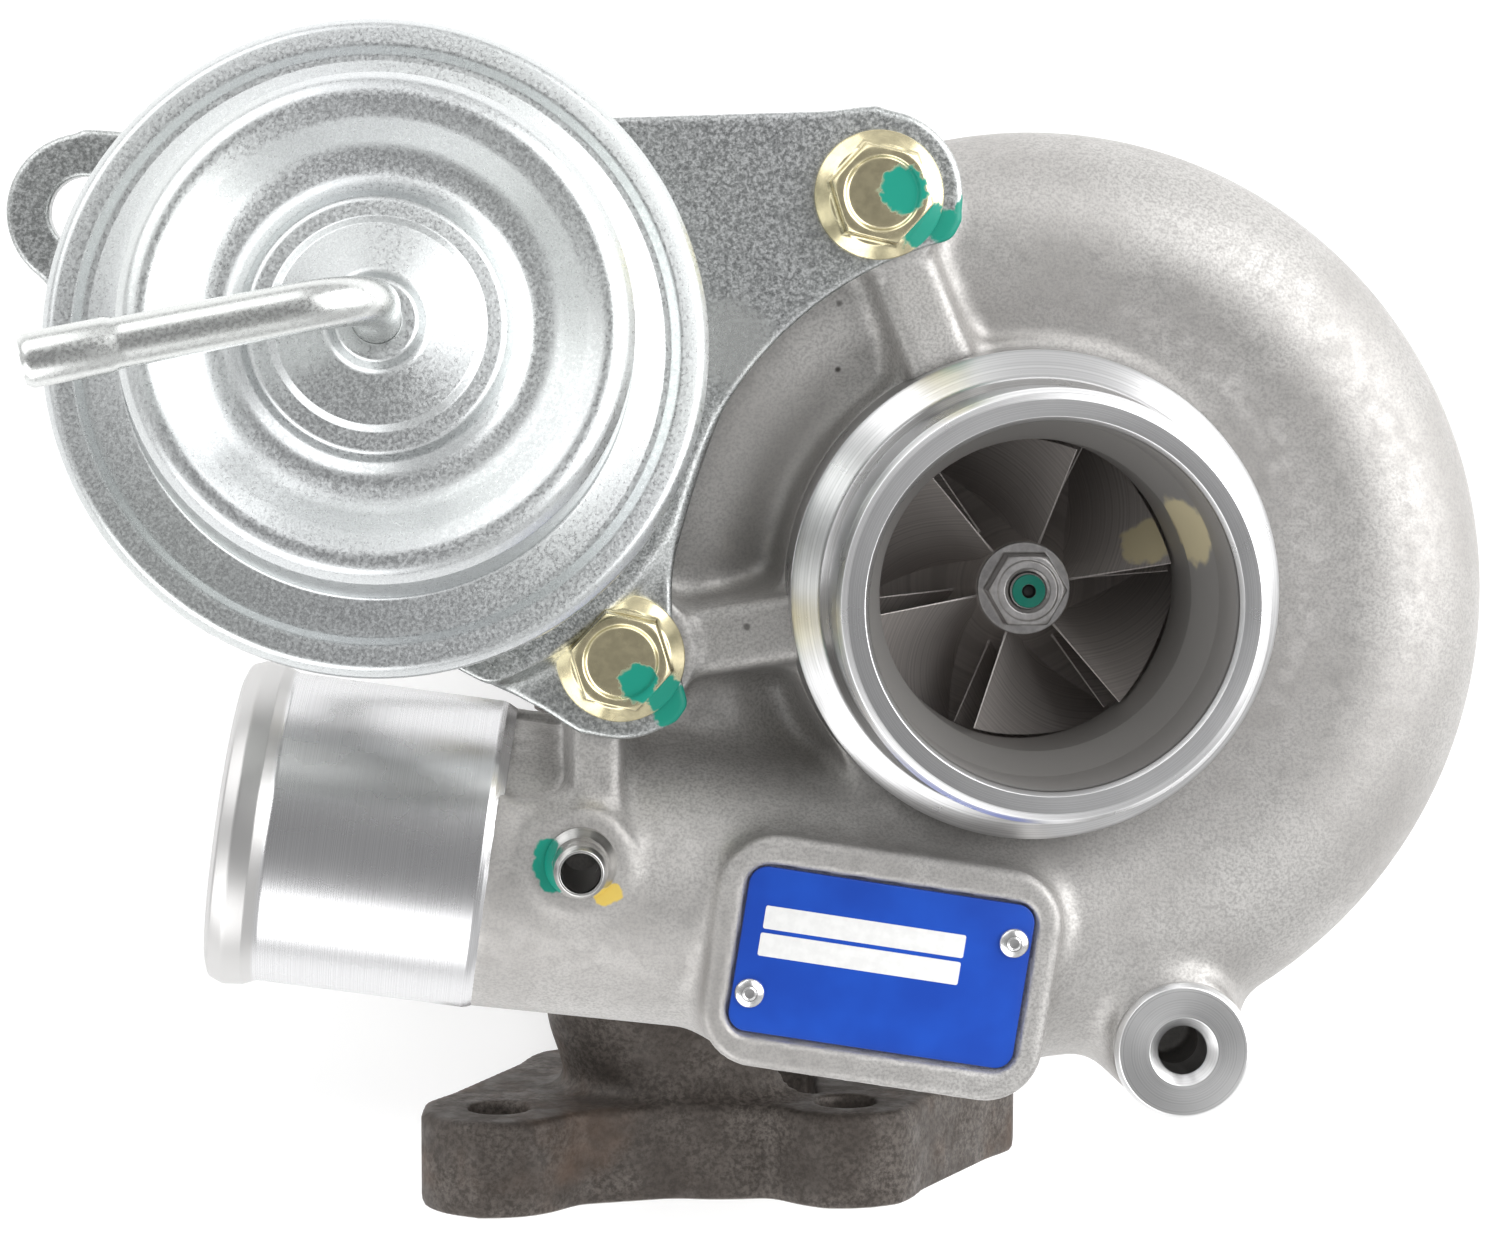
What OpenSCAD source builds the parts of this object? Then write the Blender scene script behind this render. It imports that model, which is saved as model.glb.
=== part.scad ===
// Turbocharger with a pneumatic wastegate actuator.
// +Z runs along the shaft towards the compressor inlet; the origin is the centre of the
// exhaust outlet flange face, on the shaft axis. Millimetres.

/* [Compressor housing] */
// Height of the inlet rim above the exhaust outlet face
rim_z = 172; // [171:0.5:173]
// Radius of the inlet bore at its mouth
inlet_bore_r = 24.5; // [24:0.1:24.8]
// Outer radius of the inlet hose spigot
inlet_spigot_r = 29.6; // [29:0.1:30]
// Distance from the shaft axis to the middle of the scroll tube
scroll_rc = 49.5; // [49:0.1:50]
// Outer radius of the outlet hose spigot
outlet_r = 22.5; // [22:0.1:22.8]
// Wall of the cast scroll
scroll_wall = 4; // [3.5:0.1:4.2]

/* [Rotor] */
// Radius of the compressor wheel at its inducer
inducer_r = 21.5; // [21.3:0.1:21.6]
// Radius of the compressor wheel at its exducer
exducer_r = 28; // [27.8:0.1:28]
// Radius of the turbine wheel
turbine_r = 25; // [24.8:0.1:25]
// Radius of the shaft in its journal bushes
journal_r = 4; // [3.98:0.01:4]

/* [Turbine housing] */
// Distance from the shaft axis to the middle of the turbine scroll
turbine_rc = 42; // [41.5:0.1:42.5]
// Thickness of the exhaust outlet flange
outlet_flange_t = 11; // [10:0.5:12]
// Thickness of the manifold flange
manifold_flange_t = 16; // [15:0.5:16]
// Radius of the wastegate valve disc
valve_r = 12; // [11.5:0.1:12]

/* [Actuator] */
// Outer radius of the crimped canister rim
can_r = 43.6; // [43.4:0.1:44]
// Lean of the canister axis away from the shaft axis, in degrees
can_tilt = 9.5; // [9.5:0.1:9.6]
// Wastegate lever length from the shaft to the rod pin
lever_len = 20; // [19.9:0.1:20.1]
// Radius of the actuator rod
rod_r = 3; // [2.9:0.1:3]

/* [Hidden] */
$fn = 64;

// ---- compressor scroll: the tube grows clockwise from the tongue to the outlet ----
tongue_az = 225;
scroll_sweep = 323;
scroll_floor_z = 110;
scroll_rings = 24;
scroll_sides = 18;
function scroll_r(w) = 14.2 + 0.018 * w - 5.2 * exp(-w / 45);
outlet_az = tongue_az - scroll_sweep - 90;     // direction the outlet points
outlet_start = [scroll_rc * cos(outlet_az + 90), scroll_rc * sin(outlet_az + 90),
                scroll_floor_z + scroll_r(scroll_sweep)];
cast_len = 72;       // cast part of the outlet tube
spigot_len = 37.5;   // machined hose spigot beyond it
outlet_bore_r = 18.5;

// ---- bolt pads and other features on the compressor housing ----
upper_bolt = [-22.5, 55.9];
lower_bolt = [-58.4, -8.4];
pad_z = 147.5;
plate_t = 4;
boss_pos = [21.6, -65.1];
boss_top_z = 150;
nipple_pos = [-64, -37.3];
nipple_seat_z = 151.5;
tag_pos = [-21.7, -52.4];
tag_turn = -9;
tag_top_z = 153;
tag_floor_z = 151.2;
m8_core_r = 3.4;

// ---- centre section stack, heights above the exhaust face ----
shroud_z = 137;      // compressor blade tips at the inducer
wheel_back_z = 113.4;
exducer_z = 117;
hub_nose_z = 134;
backplate_z = 105.5;
backplate_top_z = 112.6;
turbine_back_z = 57;
turbine_ring_z = 67;

// ---- turbine scroll with its inlet leg ----
turbine_zc = 50;
duct_x = -40;
duct_z = 36;
manifold_face_y = -108;
manifold_holes = [[-78, 57], [-20, 54], [0, 16.5], [-62, 16.5]];
manifold_hole_r = 5.2;
outlet_pcd = 100;
outlet_first_az = 14;

// ---- actuator placement ----
can_pos = [-90.4, 34.9, 177];
can_az = 73.4;
eye_z = -154.4;              // rod eye below the canister rim, along the rod
swing = 11.46;               // lever angle above level at rest
joggle = 24;                 // sideways step of the rod
pivot_x = -lever_len * cos(swing);
pivot_z = eye_z - lever_len * sin(swing);
valve_reach = 18;
shaft_end_y = -62;
// the lever axis in the row frame
pivot = [
  can_pos[0] + pivot_x * cos(can_tilt) * cos(can_az) + pivot_z * sin(can_tilt) * cos(can_az),
  can_pos[1] + pivot_x * cos(can_tilt) * sin(can_az) + pivot_z * sin(can_tilt) * sin(can_az),
  can_pos[2] - pivot_x * sin(can_tilt) + pivot_z * cos(can_tilt)
];
valve_pos = [
  pivot[0] - sin(can_az) * shaft_end_y + valve_reach * cos(can_az),
  pivot[1] + cos(can_az) * shaft_end_y + valve_reach * sin(can_az)
];
seat_z = pivot[2] + 4;

// ======================= helpers =======================
// Closed tube through rings of points, each ring with the same number of sides
module skin(rings) {
  m = len(rings);
  n = len(rings[0]);
  polyhedron(
    points = [for (r = rings) each r],
    faces = concat(
      [[for (j = [n - 1:-1:0]) j]],
      [for (k = [0:m - 2], j = [0:n - 1]) [k * n + j, k * n + (j + 1) % n, (k + 1) * n + j]],
      [for (k = [0:m - 2], j = [0:n - 1])
        [k * n + (j + 1) % n, (k + 1) * n + (j + 1) % n, (k + 1) * n + j]],
      [[for (j = [0:n - 1]) (m - 1) * n + j]]),
    convexity = 6);
}

// Ring of points standing across a level path: c is its centre, az the heading of the path
function cross_ring(c, az, rx, rz, n) = [for (j = [0:n - 1]) let (b = 360 * j / n)
  [c[0] + rx * cos(b) * sin(az), c[1] - rx * cos(b) * cos(az), c[2] + rz * sin(b)]];

module ring(r_out, r_in, z0, z1) {
  translate([0, 0, z0]) difference() {
    cylinder(r = r_out, h = z1 - z0);
    translate([0, 0, -1]) cylinder(r = r_in, h = z1 - z0 + 2);
  }
}

module rod_between(z0, z1, r) {
  translate([0, 0, z0]) cylinder(r = r, h = z1 - z0);
}

module hex(af, h) {
  cylinder(r = af / sqrt(3), h = h, $fn = 6);
}

module rounded_block(x, y, z, r) {
  linear_extrude(z) {
    square([x - 2 * r, y], center = true);
    square([x, y - 2 * r], center = true);
    for (sx = [-1, 1], sy = [-1, 1]) translate([sx * (x / 2 - r), sy * (y / 2 - r)]) circle(r = r);
  }
}

// Canister frame: z along the rod towards the cover, y along the lever axis away from the housing
module at_can() {
  translate(can_pos) rotate([0, 0, can_az]) rotate([0, can_tilt, 0]) children();
}

// Lever frame: at the lever axis, x level towards the valve
module at_pivot() {
  translate(pivot) rotate([0, 0, can_az]) children();
}

module at_outlet() {
  translate(outlet_start) rotate([0, 0, outlet_az]) rotate([0, 90, 0]) children();
}

// ======================= compressor housing =======================
module scroll_skin(cut) {
  skin([for (k = [0:scroll_rings]) let (w = scroll_sweep * k / scroll_rings, az = tongue_az - w)
    cross_ring([scroll_rc * cos(az), scroll_rc * sin(az), scroll_floor_z + scroll_r(w)],
               az - 90, scroll_r(w) - cut, scroll_r(w) - cut, scroll_sides)]);
}

// Shroud line of the compressor wheel, opened by a running gap
function shroud_pt(t, gap) = [inducer_r + gap + (exducer_r - inducer_r) * (1 - cos(90 * t)),
                              shroud_z - (shroud_z - exducer_z) * sin(90 * t) + gap * t];

module inlet_neck() {
  rotate_extrude() polygon([
    [20, 113], [40, 113], [38.5, 122], [36, 132], [34.9, 140], [34.6, 149.5],
    [33.2, 150.4], [31, 152.2], [inlet_spigot_r, 154.5], [inlet_spigot_r, 169.2],
    [28.9, 171], [27.1, rim_z], [20, rim_z]]);
}

module inlet_passage() {
  rotate_extrude() polygon(concat(
    [[0, rim_z + 1], [inlet_bore_r + 0.9, rim_z + 1], [inlet_bore_r, rim_z - 1],
     [inlet_bore_r, 156], [22.6, 151], [inducer_r + 0.4, 149]],
    [for (k = [0:6]) shroud_pt(k / 6, 0.4)],
    [[42, exducer_z + 0.4], [42, backplate_top_z], [50.1, backplate_top_z], [50.1, 105], [0, 105]]));
}

module outlet_body() {
  at_outlet() {
    translate([0, 0, -6]) cylinder(r1 = scroll_r(scroll_sweep), r2 = outlet_r - 0.4, h = cast_len + 6);
    translate([0, 0, cast_len - 1]) rotate_extrude() polygon([
      [0, 0], [outlet_r - 0.3, 0], [outlet_r, 1], [outlet_r, spigot_len - 6.5],
      [outlet_r + 1.1, spigot_len - 5], [outlet_r + 1.1, spigot_len - 1.5],
      [outlet_r + 0.2, spigot_len], [outlet_r - 1.4, spigot_len + 1], [0, spigot_len + 1]]);
  }
}

module outlet_passage() {
  at_outlet() translate([0, 0, -12]) cylinder(r1 = 15.5, r2 = outlet_bore_r, h = 40);
  at_outlet() translate([0, 0, 27]) cylinder(r = outlet_bore_r, h = cast_len + spigot_len);
  at_outlet() translate([0, 0, cast_len + 8]) cylinder(r = outlet_bore_r + 0.8, h = spigot_len);
}

module web_to_axis(p, w, reach, top) {
  translate([p[0], p[1], 118]) rotate([0, 0, atan2(-p[1], -p[0])])
    translate([0, -w / 2, 0]) cube([reach, w, top - 118]);
}

module compressor_housing() {
  color([0.72, 0.71, 0.70]) difference() {
    union() {
      scroll_skin(0);
      inlet_neck();
      ring(58.5, 40, 106, 116);
      outlet_body();
      for (p = [upper_bolt, lower_bolt])
        translate([p[0], p[1], 112]) cylinder(r = 10.5, h = pad_z - 112);
      web_to_axis(upper_bolt, 11, 26, pad_z - 1);
      web_to_axis(lower_bolt, 11, 26, pad_z - 1);
      translate([nipple_pos[0], nipple_pos[1], 135]) cylinder(r = 8, h = nipple_seat_z - 135);
      translate([-65.5, nipple_pos[1], 130]) cube([7.5, 28, pad_z - 1 - 130]);
      translate([boss_pos[0], boss_pos[1], 118]) cylinder(r = 9.9, h = boss_top_z - 118);
      translate([tag_pos[0], tag_pos[1], 128]) rotate([0, 0, tag_turn])
        rounded_block(48.7, 33.3, tag_top_z - 128, 8);
    }
    scroll_skin(scroll_wall);
    inlet_passage();
    outlet_passage();
    for (p = [upper_bolt, lower_bolt])
      translate([p[0], p[1], pad_z - 24]) cylinder(r = m8_core_r + 0.6, h = 25);
    translate([boss_pos[0], boss_pos[1], boss_top_z - 20]) cylinder(r = m8_core_r, h = 21);
    translate([boss_pos[0], boss_pos[1], boss_top_z - 1.3]) cylinder(r1 = m8_core_r, r2 = 4.8, h = 1.31);
    translate([nipple_pos[0], nipple_pos[1], 138]) cylinder(r = 3.2, h = 20);
    translate([nipple_pos[0], nipple_pos[1], nipple_seat_z]) cylinder(r = 6.2, h = 4);
    translate([tag_pos[0], tag_pos[1], tag_floor_z]) rotate([0, 0, tag_turn]) {
      rounded_block(41.8, 24.6, 5, 3.5);
      for (s = [-1, 1]) translate([s * 17.9, s * 6.3, -3]) cylinder(r = 1.2, h = 5);
    }
    for (k = [0:5]) rotate([0, 0, 15 + 60 * k]) translate([54.2, 0, 105]) cylinder(r = 2.6, h = 9);
  }
}

module boost_nipple() {
  color([0.68, 0.67, 0.64]) translate([nipple_pos[0], nipple_pos[1], 0]) difference() {
    union() {
      rod_between(141, nipple_seat_z, 3.2);
      rod_between(nipple_seat_z, nipple_seat_z + 1.6, 5);
      rod_between(nipple_seat_z + 1.5, nipple_seat_z + 10.5, 3.75);
    }
    rod_between(140, 164, 2.65);
  }
}

module id_plate() {
  color([0.10, 0.29, 0.78]) translate([tag_pos[0], tag_pos[1], tag_floor_z]) rotate([0, 0, tag_turn])
    difference() {
      rounded_block(40.8, 23.6, 0.8, 3);
      for (s = [-1, 1]) translate([s * 17.9, s * 6.3, -1]) cylinder(r = 1.25, h = 3);
    }
}

module id_plate_rivets() {
  color([0.80, 0.80, 0.80]) translate([tag_pos[0], tag_pos[1], tag_floor_z]) rotate([0, 0, tag_turn])
    for (s = [-1, 1]) translate([s * 17.9, s * 6.3, 0]) {
      translate([0, 0, -3]) cylinder(r = 1.2, h = 3.9);
      translate([0, 0, 0.8]) cylinder(r1 = 2.15, r2 = 1.5, h = 0.9);
    }
}

module backplate() {
  color([0.66, 0.66, 0.66]) difference() {
    ring(50, 7.3, backplate_z, backplate_top_z);
    ring(52, 48.6, 108.2, 110.4);
    ring(20, 0, backplate_z - 1, 108.4);
    for (k = [0:3]) rotate([0, 0, 45 + 90 * k]) translate([25, 0, 104]) cylinder(r = 2.1, h = 7);
  }
}

module backplate_seal() {
  color([0.08, 0.08, 0.08]) translate([0, 0, 109.3]) rotate_extrude() translate([49.35, 0]) circle(r = 0.7);
}

module backplate_screws() {
  color([0.35, 0.35, 0.36]) for (k = [0:3]) rotate([0, 0, 45 + 90 * k]) translate([25, 0, 0]) {
    rod_between(97.5, 110.5, 2.1);
    rod_between(97.2, 101.5, 3.6);
  }
}

module compressor_clamp_plates() {
  color([0.55, 0.55, 0.55]) for (s = [0, 120, 240]) rotate([0, 0, s]) difference() {
    translate([0, 0, 103]) rotate([0, 0, -7]) rotate_extrude(angle = 104) translate([47.6, 0]) square([10.6, 2.5]);
    for (k = [0, 1]) rotate([0, 0, 15 + 60 * k]) translate([54.2, 0, 100]) cylinder(r = 2.8, h = 9);
  }
}

module compressor_clamp_bolts() {
  color([0.60, 0.60, 0.58]) for (k = [0:5]) rotate([0, 0, 15 + 60 * k]) translate([54.2, 0, 0]) {
    rod_between(102.5, 113.5, 2.6);
    translate([0, 0, 98.5]) hex(8, 4.5);
  }
}

// ======================= rotor =======================
function hub_pt(t) = [6.8 + (exducer_r - 7.0) * (1 - cos(90 * t)),
                      hub_nose_z - (hub_nose_z - wheel_back_z - 1.2) * sin(90 * t)];
function shroud_cut(t) = shroud_pt(t, -0.05);
function mix(a, b, h) = a * (1 - h) + b * h;

// One curved blade between a hub line and a tip line: rows run along the flow
module blade(hub, tip, wrap, t) {
  rows = len(hub);
  cols = 2;
  function spot(i, j, side) =
    let (p = mix(hub[i], tip[i], j / (cols - 1)), a = wrap[i] + side * t / p[0] * 28.6)
    [p[0] * cos(a), p[0] * sin(a), p[1]];
  skin([for (i = [0:rows - 1]) concat(
    [for (j = [0:cols - 1]) spot(i, j, -1)],
    [for (j = [cols - 1:-1:0]) spot(i, j, 1)])]);
}

module compressor_blades(first) {
  for (k = [0:5]) rotate([0, 0, 10 + 60 * k + (first > 0 ? 30 : 0)])
    blade([for (i = [0:6]) hub_pt(mix(first, 1, i / 6)) - [0.8, 0.5]],
          [for (i = [0:6]) shroud_cut(mix(first, 1, i / 6))],
          [for (i = [0:6]) 58 * (1 - pow(1 - mix(first, 1, i / 6), 1.6))], 1.1);
}

module compressor_wheel() {
  color([0.33, 0.31, 0.30]) union() {
    rotate_extrude() polygon(concat([[2.62, wheel_back_z], [2.62, hub_nose_z], [6.8, hub_nose_z]],
      [for (k = [1:7]) hub_pt(k / 8)],
      [[exducer_r + 0.1, wheel_back_z + 1.2], [exducer_r + 0.1, wheel_back_z]]));
    compressor_blades(0);
    compressor_blades(0.3);
  }
}

module impeller_nut() {
  color([0.45, 0.44, 0.43]) difference() {
    union() {
      translate([0, 0, hub_nose_z]) cylinder(r = 6.75, h = 1.3);
      translate([0, 0, hub_nose_z + 1.2]) hex(10, 5);
    }
    rod_between(130, 145, 2.62);
  }
}

function turbine_hub_pt(t) = [7 + 15.5 * pow(t, 2.4), mix(30, turbine_back_z - 1.6, t)];
function turbine_tip_pt(t) = [turbine_r - 3.8 * (1 - min(1, t / 0.75)), mix(32, turbine_back_z - 0.6, t)];

module turbine_wheel_shaft() {
  color([0.42, 0.38, 0.36]) union() {
    rotate_extrude() polygon(concat(
      [[0, 27], [4, 27], [7, 28.8], [7, 30]],
      [for (k = [1:6]) turbine_hub_pt(k / 6)],
      [[22.5, turbine_back_z], [8.4, turbine_back_z + 1], [8.4, 61], [7.4, 61], [7.4, 62.7], [8.4, 62.7],
       [8.4, 66], [6, 67], [journal_r, 67], [journal_r, 100], [2.6, 100], [2.6, 141.5], [0, 141.5]]));
    for (k = [0:10]) rotate([0, 0, 360 / 11 * k])
      blade([for (i = [6:-1:0]) turbine_hub_pt(i / 6) - [1.3, 0]],
            [for (i = [6:-1:0]) turbine_tip_pt(i / 6)],
            [for (i = [6:-1:0]) -34 * pow(1 - i / 6, 1.7)], 1.2);
  }
}

module thrust_washer() {
  color([0.50, 0.50, 0.50]) ring(9, 2.62, 100, 102.4);
}

module thrust_collar() {
  color([0.52, 0.52, 0.52]) rotate_extrude() polygon([
    [2.62, 102.4], [5.6, 102.4], [5.6, 105.4], [9, 105.4], [10.5, 108], [7.2, 108],
    [7.2, 109.4], [6.2, 109.4], [6.2, 111], [7.2, 111], [7.2, wheel_back_z], [2.62, wheel_back_z]]);
}

module thrust_bearing() {
  color([0.72, 0.55, 0.30]) difference() {
    ring(19.4, 5.66, 102.45, 105.35);
    translate([-3, -21, 101]) cube([6, 14, 6]);
    for (k = [0:2]) rotate([0, 0, 30 + 120 * k]) translate([14, 0, 100]) cylinder(r = 1.6, h = 8);
  }
}

module gap_ring(r_out, r_in, z0, z1) {
  difference() {
    ring(r_out, r_in, z0, z1);
    translate([0, -0.2, z0 - 1]) cube([r_out + 2, 0.4, z1 - z0 + 2]);
  }
}

module compressor_seal_ring() {
  color([0.30, 0.30, 0.30]) gap_ring(7.29, 6.3, 109.45, 110.95);
}

module turbine_seal_ring() {
  color([0.30, 0.30, 0.30]) gap_ring(8.75, 7.5, 61.05, 62.65);
}

module bush(z0) {
  difference() {
    ring(6.94, journal_r + 0.05, z0, z0 + 9);
    for (k = [0:2]) rotate([0, 0, 60 * k]) translate([0, 0, z0 + 4.5]) rotate([0, 90, 0])
      cylinder(r = 0.9, h = 20, center = true);
  }
}

module front_bush() { color([0.80, 0.62, 0.30]) bush(89.5); }
module rear_bush() { color([0.80, 0.62, 0.30]) bush(71.5); }

module bush_retaining_rings() {
  color([0.40, 0.40, 0.42]) for (z = [70.2, 80.8, 88.2, 98.8]) gap_ring(7.5, 5.2, z, z + 1);
}

// ======================= bearing housing =======================
oil_in_y = 33;
drain_y = -36;
coolant_step = 1.5;    // the two coolant ports stand at different heights

module bearing_housing() {
  color([0.36, 0.33, 0.31]) difference() {
    union() {
      ring(38, 8, 62, 67);
      rod_between(62, 101.5, 26);
      rotate_extrude() polygon([[0, 67], [34, 67], [30, 70], [24, 73], [0, 73]]);
      ring(34, 8, 96, backplate_z);
      translate([0, 0, 84]) rotate([-90, 0, 0]) cylinder(r = 9.5, h = oil_in_y);
      translate([0, drain_y, 84]) rotate([-90, 0, 0]) cylinder(r = 12, h = 30);
      translate([-20, drain_y, 76]) cube([40, 7, 16]);
      for (s = [-1, 1]) translate([s * 17, 0, 84 + s * coolant_step]) rotate([0, 90, 0])
        cylinder(r = 9, h = 34, center = true);
    }
    rod_between(61, 68, 8.8);
    rod_between(67, 70, 7.5);
    rod_between(69, 100, 7);
    for (z = [70.2, 80.8, 88.2, 98.8]) translate([0, 0, z]) cylinder(r = 7.55, h = 1);
    rod_between(99.8, 107, 19.5);
    translate([0, drain_y - 1, 84]) rotate([-90, 0, 0]) cylinder(r = 7.5, h = 24);
    translate([0, oil_in_y - 10, 84]) rotate([-90, 0, 0]) cylinder(r = 5.1, h = 12);
    translate([0, 8, 84]) rotate([-90, 0, 0]) cylinder(r = 3.4, h = 20);
    translate([0, 2, 84]) rotate([-90, 0, 0]) cylinder(r = 1.5, h = 20);
    translate([0, -16, 84]) rotate([-90, 0, 0]) cylinder(r = 2.4, h = 12);
    for (s = [-1, 1]) {
      translate([s * 24, 0, 84 + s * coolant_step]) rotate([0, 90, 0]) cylinder(r = 6.2, h = 24, center = true);
      translate([s * 15, drain_y - 1, 84]) rotate([-90, 0, 0]) cylinder(r = 3.3, h = 10);
    }
    for (k = [0:3]) rotate([0, 0, 45 + 90 * k]) translate([25, 0, 0]) {
      rod_between(95, 107, 2.15);
      rod_between(60, 101.5, 4.6);
    }
  }
}

module heat_shield() {
  color([0.58, 0.56, 0.53]) rotate_extrude() polygon([
    [9.6, 58.6], [24, 58.6], [26.5, 61.3], [33.5, 61.3], [33.5, 62], [26.2, 62], [23.7, 59.3], [9.6, 59.3]]);
}

// ======================= turbine housing =======================
turbine_sweep = 276;
function turbine_tube_r(v) = 17.5 - 8.5 * v / turbine_sweep;
leg_p = [[-44, -92], [-64, -72], [-turbine_rc - 5, -38], [-turbine_rc, 0]];
function bez(t) = pow(1 - t, 3) * leg_p[0] + 3 * pow(1 - t, 2) * t * leg_p[1]
                  + 3 * (1 - t) * t * t * leg_p[2] + pow(t, 3) * leg_p[3];
function bez_az(t) = let (d = bez(t + 0.01) - bez(t - 0.01)) atan2(d[1], d[0]);

module turbine_skin(cut) {
  skin(concat(
    [for (k = [0:7]) let (t = k / 8, c = bez(t), s = t * t * (3 - 2 * t))
      cross_ring([c[0], c[1], mix(duct_z, turbine_zc, s)], bez_az(t),
                 mix(19.5, 17.5, s) - cut, mix(16.5, 17.5, s) - cut, 16)],
    [for (k = [0:16]) let (v = turbine_sweep * k / 16, az = 180 - v)
      cross_ring([turbine_rc * cos(az), turbine_rc * sin(az), turbine_zc], az - 90,
                 turbine_tube_r(v) - cut, turbine_tube_r(v) - cut, 16)]));
}

module manifold_flange() {
  h = manifold_holes;
  translate([0, manifold_face_y + manifold_flange_t, 0]) rotate([90, 0, 0])
    linear_extrude(manifold_flange_t) {
      translate(h[0]) circle(r = 13);
      translate(h[1]) circle(r = 11.5);
      translate(h[2]) circle(r = 12.5);
      translate(h[3]) circle(r = 12);
      translate([duct_x, duct_z]) circle(r = 22);
      polygon([h[0] + [-3, 12], h[0] + [14, 4], [-48, 57], [-34, 57], h[1] + [-4, 10.5],
               h[1] + [8, 8], h[2] + [11, 6], h[2] + [6, -11], [-30, 12], h[3] + [0, -12],
               h[3] + [-9, -8], h[0] + [-12, -5]]);
    }
}

// Everything between the wheel and the outlet face that gas leaves through
module outlet_chamber() {
  rod_between(-1, 28, 26);
  translate([valve_pos[0], valve_pos[1], -1]) cylinder(r = 17, h = seat_z + 1);
  translate([valve_pos[0], valve_pos[1] - 8, -1]) cube([35, 16, seat_z + 1]);
  at_pivot() translate([-7.5, shaft_end_y - 10.5, -13]) cube([16, 21, 20]);
}

module turbine_wheel_space() {
  rotate_extrude() polygon([[0, 20], [21.7, 20], [21.7, 33], [25.4, 52], [25.4, 45.2], [29, 45.2],
    [29, 54.5], [38.2, 57.5], [38.2, 70], [0, 70]]);
}

module turbine_housing() {
  color([0.38, 0.33, 0.30]) difference() {
    union() {
      turbine_skin(0);
      manifold_flange();
      translate([duct_x, manifold_face_y + 8, duct_z]) rotate([-90, 0, 0]) cylinder(r = 17.2, h = 26);
      rod_between(44, turbine_ring_z, 46.5);
      rod_between(2, 50, 31.5);
      translate([valve_pos[0], valve_pos[1], 5]) cylinder(r = 22, h = 35);
      for (k = [0:4]) rotate([0, 0, outlet_first_az + 72 * k])
        translate([outlet_pcd / 2, 0, 0]) cylinder(r = 9, h = outlet_flange_t - 0.6);
      rod_between(0, outlet_flange_t, 46);
      at_pivot() translate([0, -48, 0]) rotate([-90, 0, 0]) cylinder(r = 10.5, h = 13);
      at_pivot() translate([-14, shaft_end_y - 14, 4 - pivot[2]]) cube([20, 30, pivot[2] + 4]);
    }
    turbine_skin(4.5);
    translate([duct_x - 15.5, manifold_face_y - 1, duct_z - 11.5]) cube([31, 24, 23]);
    turbine_wheel_space();
    ring(40, 20, 45.2, 54.5);
    ring(47.5, 37, turbine_ring_z, turbine_ring_z + 4);
    outlet_chamber();
    translate([valve_pos[0], valve_pos[1], seat_z - 1]) cylinder(r = valve_r - 2.5, h = 22);
    at_pivot() translate([0, shaft_end_y, 0]) rotate([-90, 0, 0]) cylinder(r = 7, h = 40);
    for (p = manifold_holes)
      translate([p[0], manifold_face_y - 1, p[1]]) rotate([-90, 0, 0]) cylinder(r = manifold_hole_r, h = 18);
    for (k = [0:4]) rotate([0, 0, outlet_first_az + 72 * k])
      translate([outlet_pcd / 2, 0, -1]) cylinder(r = 4.5, h = 14);
    for (k = [0:5]) rotate([0, 0, 10 + 60 * k]) translate([42.6, 0, 55]) cylinder(r = 2.6, h = 13);
  }
}

module turbine_clamp_plates() {
  color([0.48, 0.46, 0.44]) for (s = [0, 120, 240]) rotate([0, 0, s]) difference() {
    translate([0, 0, turbine_ring_z]) rotate([0, 0, -8]) rotate_extrude(angle = 96)
      translate([35, 0]) square([11.5, 3]);
    for (k = [0, 1]) rotate([0, 0, 10 + 60 * k]) translate([42.6, 0, 60]) cylinder(r = 2.8, h = 20);
  }
}

module turbine_clamp_bolts() {
  color([0.50, 0.48, 0.45]) for (k = [0:5]) rotate([0, 0, 10 + 60 * k]) translate([42.6, 0, 0]) {
    rod_between(56, 71, 2.6);
    translate([0, 0, turbine_ring_z + 3]) hex(8, 4.5);
  }
}

// ======================= wastegate =======================
module wastegate_bushing() {
  color([0.55, 0.52, 0.48]) at_pivot() translate([0, shaft_end_y + 12, 0]) rotate([-90, 0, 0]) difference() {
    cylinder(r = 7, h = 16);
    translate([0, 0, -1]) cylinder(r = 4.08, h = 20);
  }
}

module wastegate_arm() {
  color([0.50, 0.47, 0.44]) at_pivot() {
    difference() {
      union() {
        translate([0, shaft_end_y - 6, 0]) rotate([-90, 0, 0]) cylinder(r = 6, h = 12);
        translate([0, shaft_end_y - 6, -5]) cube([valve_reach, 12, 5]);
        translate([valve_reach, shaft_end_y, -5]) cylinder(r = 6, h = 5);
      }
      translate([valve_reach, shaft_end_y, -7]) cylinder(r = 3.05, h = 9);
      translate([0, shaft_end_y - 7, 0]) rotate([-90, 0, 0]) cylinder(r = 4, h = 14);
    }
    translate([0, shaft_end_y - 7, 0]) rotate([-90, 0, 0]) cylinder(r = 4, h = -26.3 - shaft_end_y + 7);
  }
}

module wastegate_valve() {
  color([0.52, 0.50, 0.48]) at_pivot() translate([valve_reach, shaft_end_y, 0]) {
    translate([0, 0, 0.1]) cylinder(r = valve_r, h = 3.9);
    translate([0, 0, -7.5]) cylinder(r = 3, h = 8);
  }
}

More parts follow.
